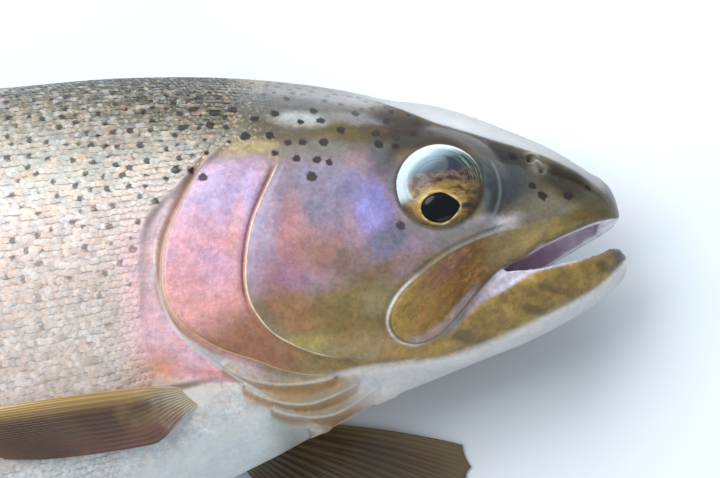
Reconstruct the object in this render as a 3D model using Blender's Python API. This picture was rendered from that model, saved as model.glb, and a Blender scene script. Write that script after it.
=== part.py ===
"""A life-size rainbow trout lying on its left side, mouth a little open.

The fish is laid out in its own frame before it is put on the floor: `a` runs back from the tip of
the snout, `b` up towards the back, and `c` out through the right side.  Every length below is in
units of 1/355 of the fork length, which is a millimetre at the size built here.  One body shell is
turned into head, jaw, throat, gill covers, trunk and tail stalk by thin cuts seen from the side.
"""
import math

import bmesh
import bpy
import numpy as np
from mathutils import Vector

FORK_LENGTH = 0.355                 # snout to the fork of the tail, in metres
UNIT = FORK_LENGTH / 355

GAP = 0.3                           # clearance between neighbouring pieces
RIBS = 32                           # points round each section of the body
BELLY_BEND = 22.0                   # how far the tail curves towards the belly
BEND_START = 70.0                   # the head and shoulder stay straight up to here
TAIL_BASE = 355.0                   # where the bend is measured
TRUNK_END = 248.0                   # the vent, where the tail stalk begins
FIN_THICKNESS = 1.0
FLAT = math.radians(0.2)            # facets closer in direction than this are made one

# distance back, back line, belly line, half width, height of the widest point
BODY = (
    (0.0, 0.9, -10.6, 1.0, -4.0),
    (0.5, 2.7, -11.8, 2.6, -4.2),
    (1.5, 4.4, -13.0, 4.3, -4.5),
    (4.0, 6.3, -14.7, 6.4, -5.0),
    (8.3, 9.4, -17.0, 8.2, -5.5),
    (18.0, 15.0, -20.8, 11.2, -6.4),
    (26.0, 19.2, -22.9, 13.2, -6.2),
    (34.0, 22.5, -25.1, 14.8, -5.8),
    (43.0, 25.8, -27.6, 16.5, -5.2),
    (53.0, 28.6, -31.2, 18.0, -4.6),
    (62.0, 30.4, -34.9, 18.9, -4.2),
    (79.0, 32.5, -40.6, 19.4, -4.6),
    (101.0, 33.4, -45.0, 20.2, -5.4),
    (130.0, 34.6, -47.7, 21.2, -6.0),
    (160.0, 34.3, -48.0, 21.2, -6.0),
    (185.0, 32.4, -46.0, 20.4, -5.6),
    (210.0, 29.4, -41.6, 18.4, -5.0),
    (235.0, 25.8, -35.2, 15.4, -4.2),
    (260.0, 21.6, -28.2, 12.3, -3.4),
    (284.0, 17.6, -22.4, 9.2, -2.6),
    (306.0, 15.0, -19.2, 6.6, -2.2),
    (318.0, 15.4, -19.6, 5.0, -2.0),
    (327.0, 17.0, -21.0, 3.6, -2.0),
)
# distance back, height of the middle plane above the floor: the flank rests along its length
REST = (
    (0.0, 18.2), (40.0, 18.2), (62.0, 18.2), (79.0, 18.7), (101.0, 19.4), (130.0, 20.3),
    (160.0, 20.4), (185.0, 19.7), (210.0, 17.8), (235.0, 14.9), (260.0, 11.9), (284.0, 8.9),
    (306.0, 6.5), (318.0, 5.0), (327.0, 3.8), (340.0, 1.8), (352.0, 0.8), (372.0, 0.5),
)

# side outlines as (a, b)
GILL_COVER = (
    (60.5, 14.6), (63.3, 14.6), (68.4, 7.6), (72.9, -1.2), (74.3, -8.5), (72.3, -15.2),
    (66.5, -20.0), (59.8, -22.7), (52.6, -24.9), (47.5, -23.6), (54.0, -20.9), (60.2, -16.2),
    (61.7, -10.5), (60.4, -3.0), (57.8, 3.4), (55.4, 8.2), (57.0, 12.6),
)
MAXILLA = (
    (15.2, -5.4), (23.4, -6.0), (31.2, -9.3), (37.6, -13.4), (40.4, -17.8), (37.3, -21.0),
    (33.0, -20.6), (28.8, -17.4), (24.0, -12.9), (20.6, -10.2), (15.6, -8.0),
)
GILL_OPENING = (
    (60.0, 45.0), (61.0, 26.0), (62.2, 18.0), (65.6, 13.0), (69.2, 7.2), (73.4, -1.2),
    (74.8, -8.5), (73.0, -15.4), (70.4, -20.6), (63.8, -26.0), (56.6, -30.2), (46.0, -37.0),
)
MOUTH_GAP = (
    (-8.0, 0.0), (-1.0, -1.6), (1.0, -2.7), (5.3, -4.0), (11.8, -6.5), (18.0, -9.3),
    (21.8, -11.2), (15.3, -11.0), (6.1, -9.3), (2.0, -7.9), (-0.6, -8.6), (-8.0, -7.0),
)
MOUTH_ROOF_AND_FLOOR = (
    (-4.0, -3.0), (4.0, -1.8), (12.0, -3.6), (20.0, -6.6), (28.0, -8.2), (36.0, -9.4),
    (40.0, -13.0), (39.0, -18.0), (30.0, -17.6), (20.0, -15.2), (10.0, -12.6), (4.0, -10.6),
    (-4.0, -8.0),
)
LOWER_JAW = (
    (-6.0, -7.0), (1.8, -7.0), (21.6, -11.5), (26.3, -15.9), (30.5, -19.8), (35.5, -22.4),
    (41.5, -23.2), (43.6, -27.0), (45.0, -34.0), (46.0, -45.0), (20.0, -48.0), (-6.0, -40.0),
)
THROAT = (
    (43.6, -21.2), (48.0, -22.0), (53.0, -23.1), (59.8, -20.9), (66.0, -18.2), (71.0, -13.4),
    (78.0, -6.0), (90.0, -20.0), (90.0, -60.0), (41.0, -60.0), (41.0, -28.0),
)
CAVITY_DEPTH = 3.0                  # thickness of lips and cheeks round the mouth
COVER_RISE, COVER_DEPTH = 0.6, 2.0  # a gill cover stands proud and reaches in by these
LIP_RISE, LIP_DEPTH = 0.6, 1.2      # the same for the maxilla

EYE = (29.6, 3.2, 9.9)              # centre of the right eye
EYE_RADII = (8.6, 8.6, 5.8)         # the globe is flattened from side to side


def hermite(table, a):
    """Values of a table at distance a, on a smooth curve through its rows."""
    rows = np.array(table, float)
    slopes = np.gradient(rows[:, 1:], rows[:, 0], axis=0)
    i = int(np.clip(np.searchsorted(rows[:, 0], a) - 1, 0, len(rows) - 2))
    span = rows[i + 1, 0] - rows[i, 0]
    t = min(max((a - rows[i, 0]) / span, 0.0), 1.0)
    near, far = (1 + 2 * t) * (1 - t) ** 2, t * t * (3 - 2 * t)
    lead, trail = t * (1 - t) ** 2 * span, t * t * (t - 1) * span
    return near * rows[i, 1:] + far * rows[i + 1, 1:] + lead * slopes[i] + trail * slopes[i + 1]


def half_width_at(a, b, rise=0.0):
    """How far the skin stands out from the middle plane at a point seen from the side."""
    back, belly, width, widest = hermite(BODY, a)
    reach = back - widest if b > widest else widest - belly
    share = min(abs(b - widest) / reach, 1.0)
    return (width + rise) * math.sqrt(1 - share * share)


def settle(a, b, c):
    """A point of the straight fish, moved to where it lies on the floor, in metres."""
    bend = max(a - BEND_START, 0.0) / (TAIL_BASE - BEND_START)
    height = float(hermite(REST, a)[0]) + c
    return Vector((-a, b - BELLY_BEND * bend * bend, max(height, 0.0))) * UNIT


def face_outwards(mesh, bm):
    """Writes bm to a mesh with every face of the closed body pointing out."""
    bmesh.ops.recalc_face_normals(bm, faces=bm.faces)
    if bm.calc_volume(signed=True) < 0:
        bmesh.ops.reverse_faces(bm, faces=bm.faces)
    bm.to_mesh(mesh)
    bm.free()


def new_object(name, bm):
    mesh = bpy.data.meshes.new(name)
    bmesh.ops.triangulate(bm, faces=[face for face in bm.faces if len(face.verts) == 4])
    face_outwards(mesh, bm)
    obj = bpy.data.objects.new(name, mesh)
    bpy.context.scene.collection.objects.link(obj)
    return obj


def body_shell(rise=0.0, start=0.0, end=327.0):
    """The whole body as one closed shell, made thicker or thinner all over by `rise`."""
    stations = [row[0] for row in BODY]
    between = []
    for low, high in zip(stations, stations[1:]):
        steps = max(1, round((high - low) / 9.0))
        between += [low + (high - low) * k / steps for k in range(steps)]
    distances = [a for a in between + [stations[-1]] if start <= a <= end]
    bm = bmesh.new()
    rings = []
    for a in distances:
        back, belly, width, widest = hermite(BODY, a)
        ring = []
        for k in range(RIBS):
            angle = 2 * math.pi * k / RIBS
            height = back + rise - widest if math.cos(angle) > 0 else widest - belly + rise
            out = max(width + rise, 0.3) * math.sin(angle)
            ring.append(bm.verts.new((a, widest + height * math.cos(angle), out)))
        loop = [bm.edges.new((ring[k - 1], ring[k])) for k in range(RIBS)]
        rings.append((ring, loop))
    for (_, near), (_, far) in zip(rings, rings[1:]):
        bmesh.ops.bridge_loops(bm, edges=near + far)
    bm.faces.new(rings[0][0])
    bm.faces.new(rings[-1][0])
    return new_object("shell", bm)


def rounded(outline, per_side=3):
    """A closed outline as a smooth curve through its points."""
    points = np.array(outline, float)
    made = []
    for k in range(len(points)):
        p0, p1, p2, p3 = (points[(k + j) % len(points)] for j in (-1, 0, 1, 2))
        for step in range(per_side):
            t = step / per_side
            made.append(0.5 * (2 * p1 + (p2 - p0) * t + (2 * p0 - 5 * p1 + 4 * p2 - p3) * t * t
                               + (3 * p1 - p0 - 3 * p2 + p3) * t ** 3))
    return np.array(made)


def grown(outline, by):
    """A closed outline moved outwards by a distance."""
    points = np.array(outline, float)
    ahead, behind = np.roll(points, -1, axis=0), np.roll(points, 1, axis=0)
    along = ahead - behind
    along /= np.linalg.norm(along, axis=1)[:, None]
    area = np.sum(points[:, 0] * ahead[:, 1] - ahead[:, 0] * points[:, 1])
    outward = np.stack([along[:, 1], -along[:, 0]], axis=1) * np.sign(area)
    return points + outward * by


def prism(outline, low=-40.0, high=40.0):
    """A side outline drawn out through the fish from c = low to c = high."""
    bm = bmesh.new()
    face = bm.faces.new([bm.verts.new((a, b, low)) for a, b in outline])
    out = bmesh.ops.extrude_face_region(bm, geom=[face])["geom"]
    bmesh.ops.translate(bm, vec=(0, 0, high - low),
                        verts=[v for v in out if isinstance(v, bmesh.types.BMVert)])
    return new_object("prism", bm)


def ball(centre, radii, segments=18, rings=12):
    bm = bmesh.new()
    bmesh.ops.create_uvsphere(bm, u_segments=segments, v_segments=rings, radius=1)
    bmesh.ops.scale(bm, vec=radii, verts=bm.verts)
    bmesh.ops.translate(bm, vec=centre, verts=bm.verts)
    return new_object("ball", bm)


def combine(name, obj, *steps):
    """A copy of obj after Boolean steps, each (operation, other object)."""
    made = bpy.data.objects.new(name, obj.data.copy())
    bpy.context.scene.collection.objects.link(made)
    for operation, other in steps:
        modifier = made.modifiers.new(operation.lower(), "BOOLEAN")
        modifier.operation = operation
        modifier.object = other
        modifier.solver = "EXACT"
    graph = bpy.context.evaluated_depsgraph_get()
    mesh = bpy.data.meshes.new_from_object(made.evaluated_get(graph))
    made.modifiers.clear()
    made.data = mesh
    return made


def material(name, colour, roughness):
    made = bpy.data.materials.new(name)
    made.use_nodes = True
    shader = made.node_tree.nodes["Principled BSDF"]
    shader.inputs["Base Color"].default_value = (*colour, 1)
    shader.inputs["Roughness"].default_value = roughness
    shader.inputs["Metallic"].default_value = 0.0
    return made


def finish(obj, name, look, parent):
    """Lays a piece on the floor, names it and gives it its material."""
    obj.name = obj.data.name = name
    bm = bmesh.new()
    bm.from_mesh(obj.data)
    for vert in bm.verts:
        vert.co = settle(*vert.co)
    bmesh.ops.dissolve_limit(bm, angle_limit=FLAT, verts=bm.verts, edges=bm.edges)
    bmesh.ops.triangulate(bm, faces=bm.faces)
    face_outwards(obj.data, bm)
    obj.data.materials.clear()
    obj.data.materials.append(look)
    obj.data.shade_smooth()
    obj.data.set_sharp_from_angle(angle=math.radians(35))
    obj.parent = parent
    return obj


def fin_sheet(point, columns, rows):
    """A fin's middle surface: point(u, v) with u along the root and v out along the rays."""
    bm = bmesh.new()
    bmesh.ops.create_grid(bm, x_segments=columns, y_segments=rows, size=0.5)
    for vert in bm.verts:
        vert.co = point(vert.co.x + 0.5, vert.co.y + 0.5)
    return new_object("sheet", bm)


def thick_fin(sheet, thickness):
    """The fin's sheet given its thickness, half to each side."""
    solidify = sheet.modifiers.new("thickness", "SOLIDIFY")
    solidify.thickness = thickness
    solidify.offset = 0.0
    graph = bpy.context.evaluated_depsgraph_get()
    bm = bmesh.new()
    bm.from_mesh(bpy.data.meshes.new_from_object(sheet.evaluated_get(graph)))
    sheet.modifiers.clear()
    face_outwards(sheet.data, bm)
    return sheet


def fan(root_front, root_back, turn_front, turn_back, length, sag):
    """A fin in the middle plane. Turns are in degrees up from straight back; sag is its droop."""
    def point(u, v):
        root = Vector(root_front).lerp(Vector(root_back), u)
        turn = math.radians(turn_front + (turn_back - turn_front) * u)
        out = length(u) * v
        droop = -sag * (out / length(0.2)) ** 2
        return Vector((root.x + out * math.cos(turn), root.y + out * math.sin(turn), droop))
    return point


def dorsal_length(u):
    return (36.0 - 18.0 * u) * (1 - 0.30 * math.exp(-14 * u))


def anal_length(u):
    return (29.0 - 16.0 * u) * (1 - 0.30 * math.exp(-14 * u))


def tail_length(u):
    out = abs(2 * u - 1)
    return (32.5 + 23.0 * out ** 1.6) * (1 - 0.10 * out ** 20)


def adipose_length(u):
    return 11.0 * math.sin(math.pi * (0.12 + 0.76 * u)) ** 0.6


def pectoral_length(u):
    return (47.0 - 15.0 * u) * (1 - 0.10 * math.exp(-12 * u))


def pelvic_length(u):
    return (30.0 - 8.0 * u) * (1 - 0.12 * math.exp(-12 * u))


def folded_pectoral(u, v):
    """The right pectoral fin, closed back against the flank, its leading ray uppermost."""
    out = pectoral_length(u) * v
    turn = math.radians(-1.0 - 14.0 * u + 10.0 * v * u)
    a = 72.0 - 3.6 * u + out * math.cos(turn)
    b = -24.4 - 4.4 * u + out * math.sin(turn)
    lift = 1.3 + 1.6 * math.sin(math.pi * min(v * 1.2, 1.0)) - 2.6 * (1 - min(v * 7, 1.0))
    return Vector((a, b, half_width_at(a, b) + lift))


def splayed_pectoral(u, v):
    """The left pectoral fin, swung forward and out on the floor below the throat."""
    out = pectoral_length(u) * v
    turn = math.radians(188.0 + 44.0 * u + 12.0 * v * u)
    a = 71.4 - 0.8 * u + out * math.cos(turn)
    b = -24.8 - 4.8 * u + out * math.sin(turn)
    root = -half_width_at(71.4, -24.8) + 1.6
    floor = 0.6 - float(hermite(REST, a)[0])
    down = min(v * 3.2, 1.0)
    return Vector((a, b, root + (floor - root) * down * down * (3 - 2 * down)))


def pelvic(side):
    """A pelvic fin folded back: the right one along the belly, the left one down to the floor."""
    def point(u, v):
        out = pelvic_length(u) * v
        turn = math.radians(-6.0 - 16.0 * u) if side > 0 else math.radians(-14.0 - 22.0 * u)
        a = 184.0 + 3.0 * u + out * math.cos(turn)
        b = -42.6 - 1.6 * u + out * math.sin(turn) * (0.6 if side > 0 else 0.9)
        root = half_width_at(186.0, -43.0) * side
        if side > 0:
            return Vector((a, b, root - 1.2 + 3.4 * v))
        floor = 1.4 - float(hermite(REST, a)[0])
        return Vector((a, b, root + 1.2 + (floor - root - 1.2) * v ** 0.8))
    return point


def main():
    for obj in list(bpy.data.objects):
        bpy.data.objects.remove(obj)
    scene = bpy.context.scene
    looks = {
        "head_skin": material("head_skin", (0.42, 0.34, 0.14), 0.30),
        "cheek_skin": material("cheek_skin", (0.72, 0.45, 0.50), 0.28),
        "flank_skin": material("flank_skin", (0.70, 0.68, 0.64), 0.32),
        "fin": material("fin", (0.40, 0.28, 0.12), 0.35),
        "eye": material("eye", (0.05, 0.05, 0.06), 0.05),
    }
    parent = bpy.data.objects.new("trout", None)
    scene.collection.objects.link(parent)

    shell = body_shell()
    skin_out = body_shell(rise=GAP)
    cavity = combine("cavity", body_shell(rise=-CAVITY_DEPTH, start=4.0, end=53.0),
                     ("INTERSECT", prism(rounded(MOUTH_ROOF_AND_FLOOR))))
    gap = prism(MOUTH_GAP)
    jaw = rounded(LOWER_JAW, 2)
    throat = np.array(THROAT)
    cover = rounded(GILL_COVER)
    lip = rounded(MAXILLA)
    opening = list(GILL_OPENING)
    front_region = prism([(-12, 45), *opening, (46, -60), (-12, -60)])
    back_region = prism([(TRUNK_END - GAP, 60), (60 + GAP, 60),
                         *[(a + GAP, b - 0.05) for a, b in opening], (46 + GAP, -70),
                         (TRUNK_END - GAP, -70)])
    tail_region = prism([(TRUNK_END, 60), (TRUNK_END, -60), (340, -60), (340, 60)])

    made = []

    def keep(obj, name, look):
        made.append(finish(obj, name, looks[look], parent))

    plates = {}
    for side, sign in (("right", 1), ("left", -1)):
        low, high = sorted((sign * 1.0, sign * 40.0))
        plates[side] = {
            "cover": (prism(cover, low, high), prism(grown(cover, GAP), low, high)),
            "lip": (prism(lip, low, high), prism(grown(lip, GAP), low, high)),
            "eye": ball((EYE[0], EYE[1], EYE[2] * sign), EYE_RADII),
            "socket": ball((EYE[0], EYE[1], EYE[2] * sign), [r + GAP for r in EYE_RADII]),
        }
    cover_outer, cover_inner = body_shell(COVER_RISE), body_shell(-COVER_DEPTH)
    lip_outer, lip_inner = body_shell(LIP_RISE), body_shell(-LIP_DEPTH)
    cover_floor = body_shell(-COVER_DEPTH - GAP)
    lip_floor = body_shell(-LIP_DEPTH - GAP)

    recesses = []
    for side in ("right", "left"):
        cover_block, cover_hole = plates[side]["cover"]
        lip_block, lip_hole = plates[side]["lip"]
        keep(combine("cover", cover_block, ("INTERSECT", cover_outer),
                     ("DIFFERENCE", cover_inner)), f"gill_cover_{side}", "cheek_skin")
        keep(combine("lip", lip_block, ("INTERSECT", lip_outer),
                     ("DIFFERENCE", lip_inner)), f"maxilla_{side}", "head_skin")
        recesses.append(combine("recess", cover_hole, ("DIFFERENCE", cover_floor)))
        recesses.append(combine("recess", lip_hole, ("DIFFERENCE", lip_floor)))
        recesses.append(plates[side]["socket"])
        keep(plates[side]["eye"], f"eye_{side}", "eye")

    away = [("DIFFERENCE", recess) for recess in recesses]
    keep(combine("head", shell, ("INTERSECT", front_region),
                 ("DIFFERENCE", prism(grown(jaw, GAP))), ("DIFFERENCE", prism(grown(throat, GAP))),
                 ("DIFFERENCE", gap), ("DIFFERENCE", cavity), *away), "head", "head_skin")
    keep(combine("jaw", shell, ("INTERSECT", prism(jaw)), ("DIFFERENCE", gap),
                 ("DIFFERENCE", cavity), *away), "lower_jaw", "head_skin")
    keep(combine("throat", shell, ("INTERSECT", front_region), ("INTERSECT", prism(throat)),
                 ("DIFFERENCE", prism(grown(jaw, GAP))), *away), "throat", "cheek_skin")
    keep(combine("trunk", shell, ("INTERSECT", back_region)), "trunk", "flank_skin")
    keep(combine("stalk", shell, ("INTERSECT", tail_region)), "tail_stalk", "flank_skin")

    fins = (
        ("dorsal_fin", fan((163, 31.0, 0), (207, 27.0, 0), 52, 30, dorsal_length, 5.0), 12, 5),
        ("anal_fin", fan((252, -27.0, 0), (284, -19.6, 0), -58, -34, anal_length, 3.0), 10, 5),
        ("tail_fin", fan((323, 14.6, 0), (323, -18.6, 0), 26, -26, tail_length, 0.0), 16, 5),
        ("pectoral_fin_right", folded_pectoral, 7, 8),
        ("pectoral_fin_left", splayed_pectoral, 7, 8),
        ("pelvic_fin_right", pelvic(1), 6, 6),
        ("pelvic_fin_left", pelvic(-1), 6, 6),
    )
    for name, point, columns, rows in fins:
        solid = thick_fin(fin_sheet(point, columns, rows), FIN_THICKNESS)
        keep(combine(name, solid, ("DIFFERENCE", skin_out)), name, "fin")
    adipose = thick_fin(fin_sheet(fan((285, 15.0, 0), (292, 14.0, 0), 46, 24,
                                      adipose_length, 1.0), 6, 5), 2.0)
    keep(combine("adipose", adipose, ("DIFFERENCE", skin_out)), "adipose_fin", "fin")

    for obj in list(bpy.data.objects):
        if obj not in made and obj != parent:
            bpy.data.objects.remove(obj)

    corners = np.array([v.co for obj in made for v in obj.data.vertices])
    low, high = corners.min(axis=0), corners.max(axis=0)
    parent.location = (-(low[0] + high[0]) / 2, -(low[1] + high[1]) / 2, -low[2])


main()
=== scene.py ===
# %% [markdown]
# # A rainbow trout, lying as it was landed
#
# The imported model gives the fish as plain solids: head, jaws, gill covers, trunk, tail stalk, fins and
# eyes, each a closed body of the right size.  This notebook dresses them.  One fine skin replaces the
# solids of flesh, thousands of small plates make the scales over it, and eyes and fins are modelled
# again in detail.  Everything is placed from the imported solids, so nothing has to be fitted.

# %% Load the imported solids
import math

import bmesh
import bpy
import numpy as np
from mathutils import Matrix, Vector
from mathutils.kdtree import KDTree


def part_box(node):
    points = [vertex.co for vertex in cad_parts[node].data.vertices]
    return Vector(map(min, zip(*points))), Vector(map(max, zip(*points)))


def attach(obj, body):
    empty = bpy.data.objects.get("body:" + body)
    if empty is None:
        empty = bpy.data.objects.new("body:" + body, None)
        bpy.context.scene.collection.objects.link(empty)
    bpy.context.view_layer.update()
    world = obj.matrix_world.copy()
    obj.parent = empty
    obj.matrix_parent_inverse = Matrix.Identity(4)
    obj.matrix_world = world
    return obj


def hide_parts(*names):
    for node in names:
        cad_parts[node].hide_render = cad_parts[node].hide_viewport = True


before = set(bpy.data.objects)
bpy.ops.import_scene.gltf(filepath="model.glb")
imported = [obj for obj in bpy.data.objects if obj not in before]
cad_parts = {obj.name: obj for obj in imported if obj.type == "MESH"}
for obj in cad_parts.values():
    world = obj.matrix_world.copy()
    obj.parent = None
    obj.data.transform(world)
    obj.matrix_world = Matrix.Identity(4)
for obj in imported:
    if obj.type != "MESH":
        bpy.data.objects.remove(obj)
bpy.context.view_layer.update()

print("solids:", ", ".join(sorted(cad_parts)))

# %% [markdown]
# ## A ruler that lies along the fish
#
# A fish is easiest to describe when it is straight.  So each point has three numbers in millimetres:
# `a` back from the tip of the snout, `b` up towards the back, and `c` out through the right side.  Two
# short tables hold the profile of the body and the height of its middle plane above the floor, and one
# function lays straight points down along the bent, resting fish.

# %% The profile tables and the smooth curve through them
MM = 0.001
BODY = np.array([
    # back from snout, back line, belly line, half width, height of the widest point
    (0.0, 0.9, -10.6, 1.0, -4.0),
    (0.5, 2.7, -11.8, 2.6, -4.2),
    (1.5, 4.4, -13.0, 4.3, -4.5),
    (4.0, 6.3, -14.7, 6.4, -5.0),
    (8.3, 9.4, -17.0, 8.2, -5.5),
    (18.0, 15.0, -20.8, 11.2, -6.4),
    (26.0, 19.2, -22.9, 13.2, -6.2),
    (34.0, 22.5, -25.1, 14.8, -5.8),
    (43.0, 25.8, -27.6, 16.5, -5.2),
    (53.0, 28.6, -31.2, 18.0, -4.6),
    (62.0, 30.4, -34.9, 18.9, -4.2),
    (79.0, 32.5, -40.6, 19.4, -4.6),
    (101.0, 33.4, -45.0, 20.2, -5.4),
    (130.0, 34.6, -47.7, 21.2, -6.0),
    (160.0, 34.3, -48.0, 21.2, -6.0),
    (185.0, 32.4, -46.0, 20.4, -5.6),
    (210.0, 29.4, -41.6, 18.4, -5.0),
    (235.0, 25.8, -35.2, 15.4, -4.2),
    (260.0, 21.6, -28.2, 12.3, -3.4),
    (284.0, 17.6, -22.4, 9.2, -2.6),
    (306.0, 15.0, -19.2, 6.6, -2.2),
    (318.0, 15.4, -19.6, 5.0, -2.0),
    (327.0, 17.0, -21.0, 3.6, -2.0),
])
REST = np.array([
    # back from snout, height of the middle plane above the floor
    (0.0, 18.2), (40.0, 18.2), (62.0, 18.2), (79.0, 18.7), (101.0, 19.4), (130.0, 20.3),
    (160.0, 20.4), (185.0, 19.7), (210.0, 17.8), (235.0, 14.9), (260.0, 11.9), (284.0, 8.9),
    (306.0, 6.5), (318.0, 5.0), (327.0, 3.8), (340.0, 1.8), (352.0, 0.8), (372.0, 0.5),
])
BELLY_BEND, BEND_START, TAIL_END = 22.0, 70.0, 355.0    # the tail curves this far towards the belly
EYE = (29.6, 3.2, 9.9)


def follow(table, at):
    """Values of a table at many places, on a smooth curve through its rows."""
    at = np.atleast_1d(np.asarray(at, float))
    slopes = np.gradient(table[:, 1:], table[:, 0], axis=0)
    row = np.clip(np.searchsorted(table[:, 0], at) - 1, 0, len(table) - 2)
    span = (table[row + 1, 0] - table[row, 0])[:, None]
    t = np.clip((at[:, None] - table[row, :1]) / span, 0, 1)
    near, far = (1 + 2 * t) * (1 - t) ** 2, t * t * (3 - 2 * t)
    lead, trail = t * (1 - t) ** 2 * span, t * t * (t - 1) * span
    return near * table[row, 1:] + far * table[row + 1, 1:] + lead * slopes[row] + trail * slopes[row + 1]


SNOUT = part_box("head")[1].x
LEVEL = (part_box("eye_right")[0].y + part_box("eye_right")[1].y) / 2 - EYE[1] * MM
SOFT = 0.6                          # flesh this near the floor is pressed flatter and flatter


def lay(points):
    """Puts straight points, in millimetres, on the bent and resting fish, in metres."""
    a, b, c = np.asarray(points, float).T
    bend = np.clip((a - BEND_START) / (TAIL_END - BEND_START), 0, None)
    height = follow(REST, a)[:, 0] + c
    height = np.where(height > SOFT, height, SOFT * np.exp((np.minimum(height, SOFT) - SOFT) / SOFT))
    return np.stack([SNOUT - a * MM, LEVEL + (b - BELLY_BEND * bend ** 2) * MM, height * MM], axis=1)


def ramp(x, low, high):
    """0 below low, 1 above high, and an S-shaped rise between; low may be the larger."""
    t = np.clip((x - low) / (high - low), 0, 1)
    return t * t * (3 - 2 * t)


def hump(x, width):
    """A bump 1 high at x = 0 that fades to nothing at plus and minus width."""
    return 1 - ramp(np.abs(x), 0, width)


def body_points(a, angle):
    """Points of the body's surface, the angle running from 0 at the back to pi at the belly."""
    back, belly, width, widest = follow(BODY, a).T
    reach = np.where(np.cos(angle) > 0, back - widest, widest - belly)
    return np.column_stack([a, widest + reach * np.cos(angle), width * np.sin(angle)])


def half_width(a, b):
    """How far the skin stands out from the middle plane at places seen from the side."""
    back, belly, width, widest = follow(BODY, a).T
    reach = np.where(b > widest, back - widest, widest - belly)
    return width * np.sqrt(np.clip(1 - ((b - widest) / reach) ** 2, 0, 1))


print(f"snout at x = {SNOUT:.4f} m, axis of the head at y = {LEVEL:.4f} m")

# %% [markdown]
# ## Camera, floor and light
#
# The camera looks down on the head from a little on the belly's side, with a long lens, so the head
# fills the frame and the body runs out of it.  Wet skin mirrors what surrounds it, so the light is large
# and soft: a wide source behind the back draws one pale band along the ridge of the head, another
# overhead gives the glints, a weak one opens the shade under the belly, and a pale room all round is
# left for the scales to mirror.  A narrow spot from above whitens the floor beyond the head.

# %% Camera and lights
def link(name, data):
    """An object that shows a mesh, a lamp or a camera in the scene."""
    made = bpy.data.objects.new(name, data)
    bpy.context.scene.collection.objects.link(made)
    return made


HEAD_MIDDLE = REST[0, 1] * MM
AIM = Vector((SNOUT - 43.2 * MM, LEVEL - 0.1 * MM, HEAD_MIDDLE))
CAMERA_RISE, CAMERA_ROLL, CAMERA_REACH = math.radians(74), math.radians(-7), 0.300
LENS, SENSOR = 90, 36               # in millimetres, as on a camera

back_axis = Vector((0, -math.cos(CAMERA_RISE), math.sin(CAMERA_RISE)))
level_up = back_axis.cross(Vector((1, 0, 0)))
right_axis = Vector((1, 0, 0)) * math.cos(CAMERA_ROLL) + level_up * math.sin(CAMERA_ROLL)
camera_data = bpy.data.cameras.new("camera")
camera_data.lens, camera_data.sensor_width = LENS, SENSOR
camera = link("camera", camera_data)
camera.matrix_world = Matrix((right_axis, back_axis.cross(right_axis), back_axis)).transposed().to_4x4()
camera.matrix_world.translation = AIM + back_axis * CAMERA_REACH
bpy.context.scene.camera = camera


def soft_light(name, place, size, power, colour):
    """A round area light that faces the middle of the head."""
    lamp = bpy.data.lights.new(name, "AREA")
    lamp.shape, lamp.size, lamp.energy, lamp.color = "DISK", size, power, colour
    made = link(name, lamp)
    made.location = AIM + Vector(place)
    made.rotation_euler = (-Vector(place)).to_track_quat("-Z", "Y").to_euler()


LAMPS = (
    # name, place from the head in metres, width in metres, watts, colour
    ("sky_behind_back", (-0.10, 0.75, 0.65), 0.9, 6.0, (0.93, 0.97, 1.0)),
    ("overhead", (-0.50, 0.25, 0.83), 0.8, 7.0, (1.0, 0.98, 0.95)),
    ("belly_fill", (0.12, -0.70, 0.22), 0.6, 0.75, (0.90, 0.95, 1.0)),
)
for lamp_row in LAMPS:
    soft_light(*lamp_row)
glow = bpy.data.lights.new("floor_glow", "SPOT")
glow.energy, glow.spot_size, glow.spot_blend, glow.shadow_soft_size = 560, math.radians(9), 1.0, 0.02
link("floor_glow", glow).location = AIM + Vector((0.062, 0.120, 1.2))
world = bpy.data.worlds.new("pale_room")
world.use_nodes = True
world.node_tree.nodes["Background"].inputs["Color"].default_value = (0.86, 0.93, 1.0, 1)
world.node_tree.nodes["Background"].inputs["Strength"].default_value = 0.46
bpy.context.scene.world = world
bpy.context.scene.view_settings.view_transform = "Standard"

# %% [markdown]
# ## Shader arithmetic
#
# A shader tree is easier to read as formulas than as boxes and wires.  `Wire` holds one output socket
# and turns `+ - * /` into Math nodes; `Look` makes a material and any other node in one call.

# %% Two small classes for materials
def paint(screen):
    """A screen colour, 0 to 255, as the linear colour that a shader takes."""
    return tuple(c / 255 / 12.92 if c <= 10 else ((c / 255 + 0.055) / 1.055) ** 2.4 for c in screen)


def plug(tree, socket, item):
    """Sets an input to a wire, a number or a tuple; a colour in whole numbers is a screen colour."""
    if isinstance(item, Wire):
        tree.links.new(item.socket, socket)
    elif socket.type == "RGBA":
        socket.default_value = (*(paint(item) if isinstance(item[0], int) else item), 1)
    else:
        socket.default_value = item


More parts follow.
